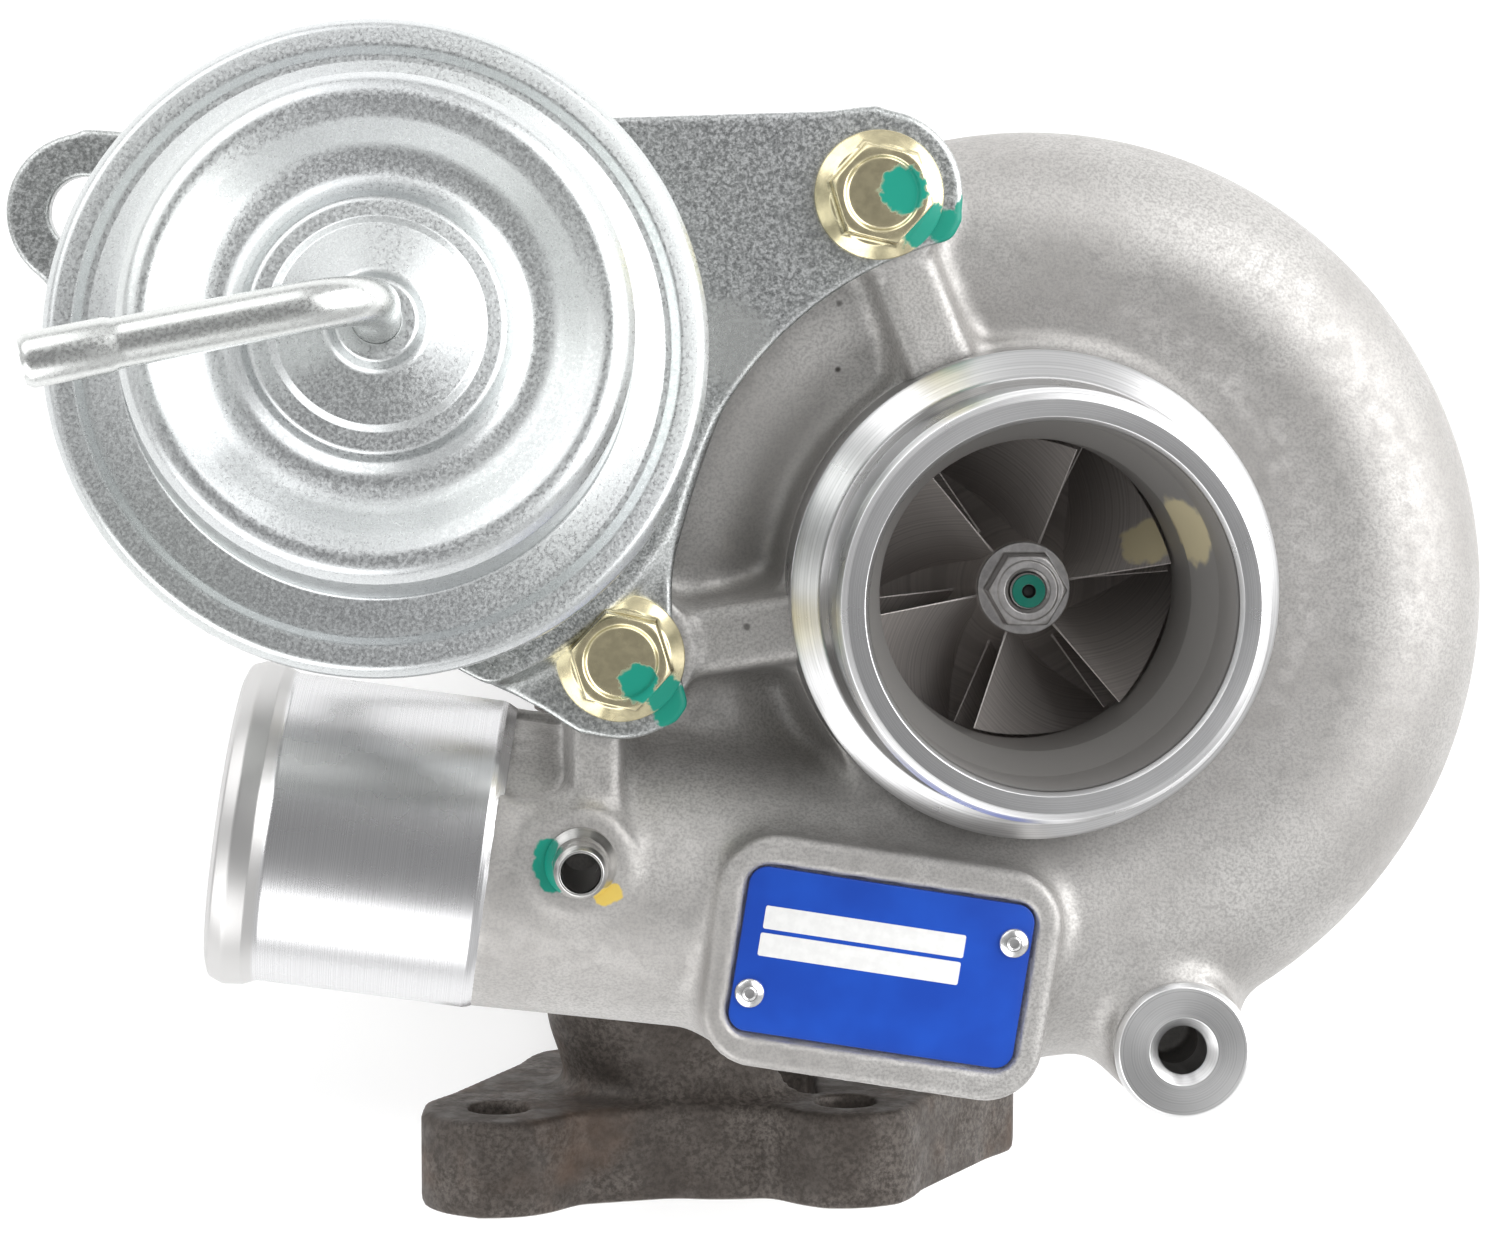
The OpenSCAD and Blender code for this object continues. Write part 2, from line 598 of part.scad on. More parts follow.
module wastegate_valve_washer() {
  color([0.48, 0.46, 0.44]) at_pivot() translate([valve_reach, shaft_end_y, -6.6]) difference() {
    cylinder(r = 5.4, h = 1.5);
    translate([0, 0, -1]) cylinder(r = 3, h = 4);
  }
}

module wastegate_lever() {
  color([0.62, 0.62, 0.60]) at_can() translate([pivot_x, -30.3, pivot_z]) rotate([0, -swing, 0])
    rotate([-90, 0, 0]) difference() {
      union() {
        cylinder(r = 7.5, h = 4);
        translate([lever_len, 0, 0]) cylinder(r = 6, h = 4);
        translate([0, -6, 0]) cube([lever_len, 12, 4]);
      }
      translate([0, 0, -1]) cylinder(r = 4.02, h = 6);
      translate([lever_len, 0, -1]) cylinder(r = 3, h = 6);
    }
}

module lever_pin() {
  color([0.66, 0.66, 0.66]) at_can() translate([0, -31.3, eye_z]) rotate([-90, 0, 0]) difference() {
    union() {
      cylinder(r = 3, h = 11.5);
      translate([0, 0, -1.2]) cylinder(r = 4.4, h = 2.2);
    }
    translate([0, 0, 10]) ring(4, 2.2, 0, 0.8);
  }
}

module lever_clip() {
  color([0.35, 0.35, 0.36]) at_can() translate([0, -31.3, eye_z]) rotate([-90, 0, 0]) difference() {
    translate([0, 0, 10.05]) ring(5.4, 2.25, 0, 0.7);
    translate([0, -1.6, 9]) cube([8, 3.2, 3]);
  }
}

// ======================= actuator =======================
seat_local_z = -27;    // underside of the canister, along its axis

module bracket_outline() {
  difference() {
    union() {
      translate(upper_bolt) circle(r = 11.8);
      translate(lower_bolt) circle(r = 11.6);
      translate([-131.9, 53.2]) circle(r = 10.9);
      polygon([[-131.9, 64.1], [-22.8, 67.7], [-11.5, 52.5], [-35, 38], [-46.9, -6],
               [-64, -18.6], [-84, -8], [-136, 43]]);
    }
    circle(r = 51.2);
  }
}

module actuator_bracket() {
  color([0.60, 0.61, 0.62]) difference() {
    union() {
      translate([0, 0, pad_z]) linear_extrude(plate_t) intersection() {
        bracket_outline();
        union() {
          translate([-160, 36]) square([160, 40]);
          translate([-70, -30]) square([40, 46]);
          translate([-150, 28]) square([24, 40]);
          translate([-90, -16]) square([32, 20]);
        }
      }
      at_can() translate([0, 0, seat_local_z - 3]) cylinder(r = 30, h = 3);
    }
    for (p = [upper_bolt, lower_bolt]) translate([p[0], p[1], pad_z - 1]) cylinder(r = 4.4, h = 8);
    translate([-131.9, 53.2, pad_z - 1]) cylinder(r = 5, h = 8);
    at_can() {
      translate([0, 0, -200]) cylinder(r = 7.05, h = 200);
      translate([0, 0, seat_local_z]) cylinder(r = 37.6, h = 30);
      for (s = [-1, 1]) translate([0, s * 20, -60]) cylinder(r = 3.2, h = 60);
    }
  }
}

module flange_bolt(p) {
  translate([p[0], p[1], pad_z + plate_t]) {
    translate([0, 0, -24]) cylinder(r = 4, h = 24);
    cylinder(r = 8.95, h = 1.2);
    translate([0, 0, 1.2]) cylinder(r1 = 8.95, r2 = 7.4, h = 1.1);
    translate([0, 0, 1.2]) difference() {
      rotate([0, 0, -13]) hex(12, 6.6);
      translate([0, 0, 5.4]) cylinder(r1 = 4.4, r2 = 5.2, h = 1.21);
    }
  }
}

module bracket_bolts() {
  color([0.80, 0.74, 0.56]) {
    flange_bolt(upper_bolt);
    flange_bolt(lower_bolt);
  }
}

module actuator_cover() {
  color([0.76, 0.79, 0.79]) at_can() rotate_extrude() polygon([
    [41.9, -2.6], [can_r - 0.8, -2.6], [can_r, -1.6], [can_r, 1.9], [can_r - 1.2, 3],
    [40.2, 3.2], [39, 2.4], [38.1, 2.4], [35.6, 3.2], [34.3, 4.4], [33.9, 6], [33.6, 16.6],
    [32.8, 18.8], [31.2, 19.9], [29.2, 20.1], [26.5, 18.8], [22.8, 16.5], [19.5, 16.2],
    [17.4, 17.6], [16.2, 19.2], [13.6, 19.2], [13, 20], [6, 21.2], [5.1, 23], [3.1, 23],
    [3.1, 18.6], [13, 17.6], [15.6, 17.6], [18, 15], [23.2, 15.2], [27, 17.4], [29.4, 18.7],
    [30.8, 18.5], [31.8, 17.8], [32.5, 16], [32.8, 5.6], [33.4, 3.6], [35, 2.1], [37.6, 1.1],
    [42.4, 1.1], [42.4, -1.4], [41.9, -1.6]]);
}

module actuator_can() {
  color([0.70, 0.72, 0.72]) at_can() rotate_extrude() polygon([
    [42.3, -1.4], [42.3, -0.4], [35.9, -0.4], [35.9, -20], [33.5, -24.5], [29, seat_local_z + 1.1],
    [6.1, seat_local_z + 1.1], [6.1, seat_local_z], [29.6, seat_local_z], [34.4, -25.3], [37, -20.5],
    [37, -1.4]]);
}

module diaphragm() {
  color([0.10, 0.10, 0.10]) at_can() rotate_extrude() polygon([
    [42.3, -0.35], [42.3, 1.05], [35.6, 1.05], [33.4, 1.6], [32.3, 2.8], [31.9, 7], [30.4, 9.6],
    [28.4, 9.4], [27.1, 8], [3.6, 8], [3.6, 7.1], [27.5, 7.1], [28.8, 8.3], [30, 8.6], [30.9, 6.6],
    [31.4, 2.2], [33, 0.6], [35.7, -0.35]]);
}

module piston_cup() {
  color([0.62, 0.60, 0.52]) at_can() rotate_extrude() polygon([
    [3.05, 5.8], [24.8, 5.8], [25.4, 5.2], [25.4, -3], [26.6, -3], [26.6, 6], [25.6, 7.05], [3.05, 7.05]]);
}

spring_turns = 5;
spring_lo = seat_local_z + 2.6;
spring_hi = 4.3;
module actuator_spring() {
  steps = spring_turns * 14;
  color([0.32, 0.33, 0.35]) at_can() skin([for (k = [0:steps]) let (a = 360 * k / 14,
    z = mix(spring_lo, spring_hi, k / steps))
    [for (j = [0:5]) let (b = 60 * j)
      [(18 + 1.4 * cos(b)) * cos(a), (18 + 1.4 * cos(b)) * sin(a), z + 1.4 * sin(b)]]]);
}

module rod_guide() {
  color([0.16, 0.16, 0.17]) at_can() rotate_extrude() polygon([
    [rod_r + 0.06, seat_local_z - 5], [7, seat_local_z - 5], [7, seat_local_z - 0.05], [6, seat_local_z - 0.05],
    [6, seat_local_z + 1.1], [8, seat_local_z + 1.2], [8, seat_local_z + 3], [rod_r + 0.06, seat_local_z + 3]]);
}

// The rod runs straight through its guide, then steps sideways to the lever
joggle_a = 40;
joggle_r = 10;
joggle_run = (joggle - 2 * joggle_r * (1 - cos(joggle_a))) / sin(joggle_a);
joggle_z = -62;

lap = 0.5;             // how far a straight length reaches into an elbow

// An elbow is a little thicker than the rod, as a bent bar is
module rod_elbow() {
  rotate_extrude(angle = joggle_a) translate([joggle_r, 0]) circle(r = rod_r + 0.05);
}

module actuator_rod() {
  z2 = joggle_z - 2 * joggle_r * sin(joggle_a) - joggle_run * cos(joggle_a);
  color([0.72, 0.73, 0.74]) at_can() {
    rod_between(joggle_z - lap, 9.2, rod_r);
    rod_between(8, 9.6, 5);
    translate([0, -joggle_r, joggle_z]) rotate([90, 0, 90]) rotate([0, 0, -joggle_a]) rod_elbow();
    translate([0, -joggle_r * (1 - cos(joggle_a)), joggle_z - joggle_r * sin(joggle_a)])
      rotate([-joggle_a, 0, 0]) rod_between(-joggle_run - lap, lap, rod_r);
    translate([0, joggle_r - joggle, z2]) rotate([90, 0, 90]) rotate([0, 0, 180 - joggle_a]) rod_elbow();
    translate([0, -joggle, 0]) rod_between(-146, z2 + lap, rod_r);
  }
}

module rod_lock_nut() {
  color([0.74, 0.72, 0.62]) at_can() translate([0, -joggle, -130]) difference() {
    hex(10, 5);
    translate([0, 0, -1]) cylinder(r = rod_r, h = 8);
  }
}

module rod_end() {
  color([0.68, 0.68, 0.66]) at_can() translate([0, -joggle, 0]) difference() {
    union() {
      rod_between(-146.5, -130, 5);
      translate([-5, -2, eye_z]) cube([10, 4, 10]);
      translate([0, -2, eye_z]) rotate([-90, 0, 0]) cylinder(r = 7, h = 4);
    }
    rod_between(-146, -129, rod_r);
    translate([0, -4, eye_z]) rotate([-90, 0, 0]) cylinder(r = 3.6, h = 8);
  }
}

module can_studs() {
  color([0.70, 0.70, 0.68]) at_can() for (s = [-1, 1]) translate([0, s * 20, 0]) {
    rod_between(seat_local_z - 12, seat_local_z, 3);
  }
}

module can_nuts() {
  color([0.74, 0.72, 0.62]) at_can() for (s = [-1, 1]) translate([0, s * 20, seat_local_z - 8.4]) difference() {
    hex(10, 5.2);
    translate([0, 0, -1]) cylinder(r = 3, h = 8);
  }
}

// ---- pressure pipe: rises from the cover, then runs level across it ----
pipe_bend_r = 9;
pipe_rise = 12;
pipe_turn = 118;       // heading of the run, in the canister frame
pipe_run = 33.6;
module actuator_pipe() {
  color([0.80, 0.81, 0.80]) at_can() translate([0, 0, 21.2]) rotate([0, 0, pipe_turn]) {
    difference() {
      union() {
        translate([0, 0, -3]) cylinder(r = 3.1, h = pipe_rise + 3);
        translate([pipe_bend_r, 0, pipe_rise]) rotate([90, 0, 0]) rotate([0, 0, 90])
          rotate_extrude(angle = 90) translate([pipe_bend_r, 0]) circle(r = 3.1);
        translate([pipe_bend_r, 0, pipe_rise + pipe_bend_r]) rotate([0, 90, 0]) cylinder(r = 3.1, h = pipe_run);
        translate([pipe_bend_r + pipe_run - 11, 0, pipe_rise + pipe_bend_r]) rotate([0, 90, 0])
          cylinder(r = 3.4, h = 11);
      }
      translate([0, 0, -4]) cylinder(r = 2.1, h = pipe_rise + 4);
      translate([pipe_bend_r, 0, pipe_rise]) rotate([90, 0, 0]) rotate([0, 0, 90])
        rotate_extrude(angle = 90) translate([pipe_bend_r, 0]) circle(r = 2.1);
      translate([pipe_bend_r, 0, pipe_rise + pipe_bend_r]) rotate([0, 90, 0]) cylinder(r = 2.1, h = pipe_run + 1);
    }
  }
}

compressor_housing();
backplate();
backplate_seal();
backplate_screws();
compressor_clamp_plates();
compressor_clamp_bolts();
boost_nipple();
id_plate();
id_plate_rivets();
compressor_wheel();
impeller_nut();
turbine_wheel_shaft();
thrust_collar();
thrust_washer();
thrust_bearing();
compressor_seal_ring();
turbine_seal_ring();
front_bush();
rear_bush();
bush_retaining_rings();
bearing_housing();
heat_shield();
turbine_housing();
turbine_clamp_plates();
turbine_clamp_bolts();
wastegate_bushing();
wastegate_arm();
wastegate_valve();
wastegate_valve_washer();
wastegate_lever();
lever_pin();
lever_clip();
actuator_bracket();
bracket_bolts();
actuator_cover();
actuator_can();
diaphragm();
piston_cup();
actuator_spring();
rod_guide();
actuator_rod();
rod_lock_nut();
rod_end();
can_studs();
can_nuts();
actuator_pipe();
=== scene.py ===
import itertools
import math
import bpy
import bmesh
import numpy as np
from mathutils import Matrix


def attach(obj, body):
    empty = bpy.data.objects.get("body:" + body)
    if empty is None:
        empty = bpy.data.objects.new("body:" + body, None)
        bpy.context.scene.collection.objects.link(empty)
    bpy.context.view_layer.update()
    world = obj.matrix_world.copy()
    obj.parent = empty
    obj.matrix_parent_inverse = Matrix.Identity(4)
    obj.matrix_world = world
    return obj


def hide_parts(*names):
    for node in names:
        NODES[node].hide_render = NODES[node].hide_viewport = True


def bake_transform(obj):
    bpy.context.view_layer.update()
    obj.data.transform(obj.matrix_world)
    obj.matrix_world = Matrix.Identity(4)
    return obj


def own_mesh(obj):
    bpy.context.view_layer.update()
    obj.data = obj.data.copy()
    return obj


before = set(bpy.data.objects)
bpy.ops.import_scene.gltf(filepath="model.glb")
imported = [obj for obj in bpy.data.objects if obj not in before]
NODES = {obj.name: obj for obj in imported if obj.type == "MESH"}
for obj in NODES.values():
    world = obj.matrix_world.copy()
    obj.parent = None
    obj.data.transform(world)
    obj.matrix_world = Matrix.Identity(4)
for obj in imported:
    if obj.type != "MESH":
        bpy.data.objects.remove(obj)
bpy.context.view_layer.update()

import openvdb as vdb
from mathutils import Matrix, Vector

MM = 0.001
ON_AXIS = 1e-6
OPEN_SPACE = 0.3      # least distance at the edge of a sampled block, so that every shape closes
MOST_STEP = 0.4       # share of a grid step that a point may move in one pass


# ======================= placement numbers, as in the CAD (millimetres) =======================
rad = math.radians


def frame_matrix(origin, *turns):
    m = Matrix.Translation(Vector(origin) * MM)
    for axis, angle in turns:
        m = m @ Matrix.Rotation(rad(angle), 4, axis)
    return m


LEVER_TURN = 73.4
CAN = frame_matrix((-90.4, 34.9, 177), ("Z", LEVER_TURN), ("Y", 9.5))
SCROLL_RC, SCROLL_Z, SWEEP, TONGUE = 49.5, 110.0, 323.0, 225.0
OUT_AZ = TONGUE - SWEEP - 90


def scroll_r(w):
    return 14.2 + 0.018 * w - 5.2 * np.exp(-w / 45)


OUT0 = (SCROLL_RC * math.cos(rad(OUT_AZ + 90)), SCROLL_RC * math.sin(rad(OUT_AZ + 90)),
        SCROLL_Z + float(scroll_r(SWEEP)))
OUTLET, OUT_CAST = frame_matrix(OUT0, ("Z", OUT_AZ), ("Y", 90)), 72
UPPER, LOWER = (-22.5, 55.9), (-58.4, -8.4)
EAR = (-131.9, 53.2)
PAD_Z, PLATE_T = 147.5, 4.0
SEAT_Z = -27.0
BOSS = (21.6, -65.1)
NIPPLE = (-64.0, -37.3)
TAG, TAG_TURN = (-21.7, -52.4), -9.0
PIVOT = (-103.391, -8.677, 24.033)
VALVE = (-38.832, -9.139)


# ======================= node material helpers =======================
class Mat:
    """A procedural material under construction."""

    def __init__(self, name, rough=0.5, metal=0.0, base=(0.5, 0.5, 0.5)):
        self.m = bpy.data.materials.new(name)
        self.m.use_nodes = True
        self.nt = self.m.node_tree
        self.b = self.nt.nodes["Principled BSDF"]
        self.b.inputs["Roughness"].default_value = rough
        self.b.inputs["Metallic"].default_value = metal
        self.b.inputs["Base Color"].default_value = (*base, 1)
        self.coord = self.nt.nodes.new("ShaderNodeTexCoord").outputs["Object"]
        self.relief = None

    def put(self, socket, value):
        if isinstance(value, bpy.types.NodeSocket):
            self.nt.links.new(value, socket)
        elif isinstance(value, (tuple, list)) and socket.type == "RGBA":
            socket.default_value = (*value, 1) if len(value) == 3 else value
        else:
            socket.default_value = value

    def set(self, name, value):
        self.put(self.b.inputs[name], value)

    def node(self, kind, **values):
        """A new shader node with these inputs set or linked, by name or as i0, i1 and so on."""
        n = self.nt.nodes.new("ShaderNode" + kind)
        for k, value in values.items():
            self.put(n.inputs[int(k[1:]) if k[1:].isdigit() else k], value)
        return n

    def math(self, op, a, b=0.0):
        n = self.node("Math", i0=a, i1=b)
        n.operation = op
        return n.outputs[0]

    def times(self, a, b):
        return self.math("MULTIPLY", a, b)

    def noise(self, scale, detail=3.0, rough=0.5):
        n = self.node("TexNoise", Vector=self.coord, Scale=scale, Detail=detail, Roughness=rough)
        return n.outputs["Fac"]

    def cells(self, scale):
        n = self.node("TexVoronoi", Vector=self.coord, Scale=scale)
        return n.outputs["Distance"], n.outputs["Color"]

    def ramp(self, fac, lo, hi, a=0.0, b=1.0):
        """Maps lo..hi of fac to a..b, clamped, smooth."""
        n = self.node("MapRange", Value=fac, **{"From Min": lo, "From Max": hi, "To Min": a, "To Max": b})
        n.interpolation_type = "SMOOTHSTEP"
        return n.outputs["Result"]

    def mix(self, fac, a, b):
        n = self.node("Mix")
        n.data_type = "RGBA"
        for k, value in ((0, fac), (6, a), (7, b)):
            self.put(n.inputs[k], value)
        return n.outputs[2]

    def xyz(self, coord=None):
        return self.node("SeparateXYZ", i0=coord or self.coord).outputs

    def moved(self, at):
        """Coordinates about a point given in millimetres."""
        n = self.node("VectorMath", i0=self.coord, i1=Vector(at) * MM)
        n.operation = "SUBTRACT"
        return n.outputs[0]

    def length(self, coord):
        n = self.node("VectorMath", i0=coord)
        n.operation = "LENGTH"
        return n.outputs["Value"]

    def radius(self):
        """Distance from the object's own Z axis."""
        o = self.xyz()
        return self.length(self.node("CombineXYZ", i0=o[0], i1=o[1]).outputs[0])

    def bump(self, height, strength, distance):
        """Adds relief on top of the bumps laid so far, distance in millimetres."""
        n = self.node("Bump", Strength=strength, Distance=distance * MM, Height=height)
        if self.relief is not None:
            self.put(n.inputs["Normal"], self.relief)
        self.relief = n.outputs[0]
        self.set("Normal", self.relief)

    def blob(self, at, size, ragged=0.35, fine=900, soft=0.12):
        """1 inside a ragged spot of paint about a point, sizes in millimetres."""
        d = self.math("DIVIDE", self.length(self.moved(at)), size * MM)
        w = self.times(self.math("SUBTRACT", self.noise(fine, 2), 0.5), ragged * 2)
        return self.ramp(self.math("ADD", d, w), 1 - soft, 1 + soft, 1.0, 0.0)

    def over(self, fac, colour, rough, metal=0.0):
        """Lays paint over what the material has so far."""
        for name, value in (("Base Color", colour), ("Roughness", rough), ("Metallic", metal)):
            s = self.b.inputs[name]
            before = s.links[0].from_socket if s.links else (
                tuple(s.default_value)[:3] if s.type == "RGBA" else s.default_value)
            if s.type == "RGBA":
                self.put(s, self.mix(fac, before, value))
            else:
                self.put(s, self.node("Mix", i0=fac, i2=before, i3=value).outputs[0])


GREEN = (0.0, 0.26, 0.185)
YELLOW = (0.62, 0.45, 0.09)


def cast_aluminium(name):
    m = Mat(name, rough=0.52, metal=0.75)
    big = m.noise(28, 4, 0.55)
    grain = m.noise(2300, 3, 0.65)
    col = m.mix(m.ramp(big, 0.35, 0.65), (0.43, 0.415, 0.40), (0.54, 0.53, 0.515))
    col = m.mix(m.ramp(grain, 0.34, 0.62), (0.38, 0.37, 0.36), col)
    dist, tint = m.cells(150)
    pick = m.ramp(m.xyz(tint)[0], 0.90, 0.93)
    speck = m.times(m.ramp(dist, 0.05, 0.11, 1.0, 0.0), pick)
    m.set("Base Color", m.mix(speck, col, (0.06, 0.055, 0.05)))
    m.set("Roughness", m.ramp(m.noise(420, 3), 0.3, 0.7, 0.46, 0.60))
    m.bump(m.noise(240, 4, 0.6), 0.35, 0.16)
    m.bump(grain, 0.42, 0.07)
    return m


def turned(name, base, rough, pitch=9000, strength=0.25, aniso=0.55):
    """Turned metal with fine tool rings round the object's own Z axis."""
    m = Mat(name, rough=rough, metal=1.0, base=base)
    along = m.math("ADD", m.radius(), m.times(m.xyz()[2], 0.83))
    n = m.node("TexNoise", Scale=pitch, Detail=3)
    n.noise_dimensions = "1D"
    m.put(n.inputs["W"], along)
    lines = n.outputs["Fac"]
    m.set("Roughness", m.ramp(m.noise(160, 3), 0.2, 0.8, rough * 0.96, rough * 1.06))
    m.set("Base Color", m.mix(m.ramp(lines, 0.3, 0.7), tuple(0.80 * c for c in base), base))
    m.bump(lines, strength, 0.03)
    m.set("Anisotropic", aniso)
    t = m.node("Tangent")
    t.direction_type, t.axis = "RADIAL", "Z"
    m.set("Tangent", t.outputs[0])
    return m


def speckled_zinc(name, base, dark, rough, grain, amount, relief):
    m = Mat(name, rough=rough, metal=1.0)
    g = m.noise(grain, 3, 0.7)
    d = m.mix(amount, base, dark)
    col = m.mix(m.ramp(g, 0.43, 0.58), d, base)
    big = m.ramp(m.noise(22, 3), 0.3, 0.7)
    col = m.mix(m.times(big, 0.22), col, (0.60, 0.64, 0.585))
    m.set("Base Color", col)
    m.set("Roughness", m.ramp(m.noise(grain * 0.5, 3), 0.3, 0.7, rough * 0.8, rough * 1.35))
    m.bump(m.noise(grain * 0.8, 3, 0.7), relief, 0.05)
    m.bump(m.noise(120, 2), 0.12, 0.15)
    return m


def plain_metal(name, base, rough, metal=1.0, grain=900, relief=0.25):
    m = Mat(name, rough=rough, metal=metal)
    g = m.noise(grain, 3, 0.6)
    m.set("Base Color", m.mix(m.ramp(g, 0.3, 0.7), tuple(0.78 * c for c in base), base))
    m.set("Roughness", m.ramp(m.noise(grain * 0.3, 3), 0.3, 0.7, rough * 0.85, rough * 1.2))
    m.bump(g, relief, 0.05)
    return m


def cast_iron(name, base, light):
    m = Mat(name, rough=0.62, metal=0.35)
    big = m.noise(60, 5, 0.6)
    fine = m.noise(1100, 3, 0.7)
    col = m.mix(m.ramp(big, 0.35, 0.68), base, light)
    col = m.mix(m.ramp(fine, 0.35, 0.65), tuple(0.7 * c for c in base), col)
    rust = m.ramp(m.noise(35, 4, 0.6), 0.55, 0.75, 0.0, 0.35)
    m.set("Base Color", m.mix(rust, col, (0.19, 0.115, 0.075)))
    m.set("Roughness", m.ramp(m.noise(300, 3), 0.3, 0.7, 0.5, 0.74))
    m.bump(m.noise(180, 4, 0.6), 0.5, 0.35)
    m.bump(fine, 0.5, 0.12)
    return m


def polymer(name, base, rough):
    m = Mat(name, rough=rough, metal=0.0)
    g = m.noise(800, 2)
    m.set("Base Color", m.mix(m.ramp(g, 0.3, 0.7), tuple(0.93 * c for c in base), base))
    m.bump(g, 0.15, 0.05)
    return m


# ======================= mesh helpers =======================
def show(mesh, material, matrix=None, replaces=None, body="casing", name=None):
    """Puts a mesh in the scene, named as its mesh unless a name is given. A piece with no body is left unattached.
    """
    obj = bpy.data.objects.new(name or mesh.name, mesh)
    bpy.context.scene.collection.objects.link(obj)
    if matrix is not None:
        obj.matrix_world = matrix
    mesh.materials.clear()
    mesh.materials.append(M[material].m)
    if body:
        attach(obj, body)
    if replaces:
        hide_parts(replaces)
    return obj


def mesh_of(name, verts, faces, sharp=35.0):
    """Mesh from points in millimetres, shaded smooth except at sharp edges."""
    mesh = bpy.data.meshes.new(name)
    mesh.from_pydata([tuple(np.asarray(v, float) * MM) for v in verts], [], [tuple(f) for f in faces])
    mesh.validate()
    bm = bmesh.new()
    bm.from_mesh(mesh)
    bmesh.ops.remove_doubles(bm, verts=bm.verts, dist=1e-7)
    bmesh.ops.recalc_face_normals(bm, faces=bm.faces)
    if bm.calc_volume(signed=True) < 0:
        bmesh.ops.reverse_faces(bm, faces=bm.faces)
    bm.to_mesh(mesh)
    bm.free()
    mesh.polygons.foreach_set("use_smooth", [True] * len(mesh.polygons))
    mesh.set_sharp_from_angle(angle=rad(sharp))
    return mesh


def soften(pts, r, n=4):
    """Closed profile with every corner rounded by radius r (a number, or one per corner)."""
    pts = [np.array(p, float) for p in pts]
    rs = [r] * len(pts) if np.isscalar(r) else r
    out = []
    for i, p in enumerate(pts):
        a, b = pts[i - 1] - p, pts[(i + 1) % len(pts)] - p
        la, lb = np.linalg.norm(a), np.linalg.norm(b)
        ua, ub = a / la, b / lb
        cosang = float(np.clip(ua @ ub, -1, 1))
        half = math.acos(cosang) / 2
        if rs[i] <= 0 or half > rad(88):
            out.append(p)
            continue
        cut = min(rs[i] / math.tan(half), 0.48 * la, 0.48 * lb)
        rr = cut * math.tan(half)
        mid = ua + ub
        c = p + mid / np.linalg.norm(mid) * rr / math.sin(half)
        s, e = p + ua * cut, p + ub * cut
        a0 = math.atan2(*(s - c)[::-1])
        a1 = math.atan2(*(e - c)[::-1])
        d = (a1 - a0 + math.pi) % (2 * math.pi) - math.pi
        for k in range(n + 1):
            t = a0 + d * k / n
            out.append(c + rr * np.array([math.cos(t), math.sin(t)]))
    return out


def lathe(name, profile, steps):
    """Closed profile of (radius, height) turned about Z."""
    n = len(profile)
    verts, faces = [], []
    for k in range(steps):
        a = rad(360 * k / steps)
        verts += [(p[0] * math.cos(a), p[0] * math.sin(a), p[1]) for p in profile]
        k2 = (k + 1) % steps
        for i in range(n):
            j = (i + 1) % n
            if max(profile[i][0], profile[j][0]) >= ON_AXIS:
                faces.append((k * n + i, k2 * n + i, k2 * n + j, k * n + j))
    return mesh_of(name, verts, faces, 30)


def ring_faces(rings, n):
    """Quads between rings of n points each, and a face over each end."""
    faces = [(i * n + j, i * n + (j + 1) % n, (i + 1) * n + (j + 1) % n, (i + 1) * n + j)
             for i in range(rings - 1) for j in range(n)]
    return faces + [tuple(reversed(range(n))), tuple((rings - 1) * n + j for j in range(n))]


def tube(name, path, radii, sides):
    """Round bar along a path with a radius at each point."""
    path = [np.array(p, float) for p in path]
    verts, n = [], len(path)
    up = np.array([0.0, 0.0, 1.0])
    t0 = path[1] - path[0]
    t0 /= np.linalg.norm(t0)
    side = np.cross(t0, up if abs(t0 @ up) < 0.9 else np.array([1.0, 0, 0]))
    side /= np.linalg.norm(side)
    for i, p in enumerate(path):
        t = path[min(i + 1, n - 1)] - path[max(i - 1, 0)]
        t /= np.linalg.norm(t)
        side = side - t * (side @ t)
        side /= np.linalg.norm(side)
        other = np.cross(t, side)
        for j in range(sides):
            a = 2 * math.pi * j / sides
            verts.append(p + radii[i] * (math.cos(a) * side + math.sin(a) * other))
    return mesh_of(name, verts, ring_faces(n, sides), 40)


# ---- signed distance modelling ----
def smin(a, b, k):
    h = np.clip(0.5 + 0.5 * (b - a) / k, 0, 1)
    return b + (a - b) * h - k * h * (1 - h)


def smax(a, b, k):
    return -smin(-a, -b, k)


def rounded(d2, dz, r=0.0):
    """Joins two distances, such as a flat outline's and a height's, with edges rounded by r."""
    a, b = d2 + r, dz + r
    return np.sqrt(np.maximum(a, 0) ** 2 + np.maximum(b, 0) ** 2) + np.minimum(np.maximum(a, b), 0) - r


def span(z, z0, z1):
    return np.abs(z - (z0 + z1) / 2) - (z1 - z0) / 2


def disc(x, y, c, r):
    return np.hypot(x - c[0], y - c[1]) - r


def around(count, first, r):
    """Centres of a ring of holes."""
    turns = [rad(first + 360 / count * k) for k in range(count)]
    return [(r * math.cos(a), r * math.sin(a)) for a in turns]


def slab_box(x, y, cx, cy, turn, sx, sy, r=0.0):
    """Outline distance of a turned rectangle with corner radius r."""
    c, s = math.cos(rad(turn)), math.sin(rad(turn))
    u, v = (x - cx) * c + (y - cy) * s, -(x - cx) * s + (y - cy) * c
    return rounded(np.abs(u) - sx / 2, np.abs(v) - sy / 2, r)


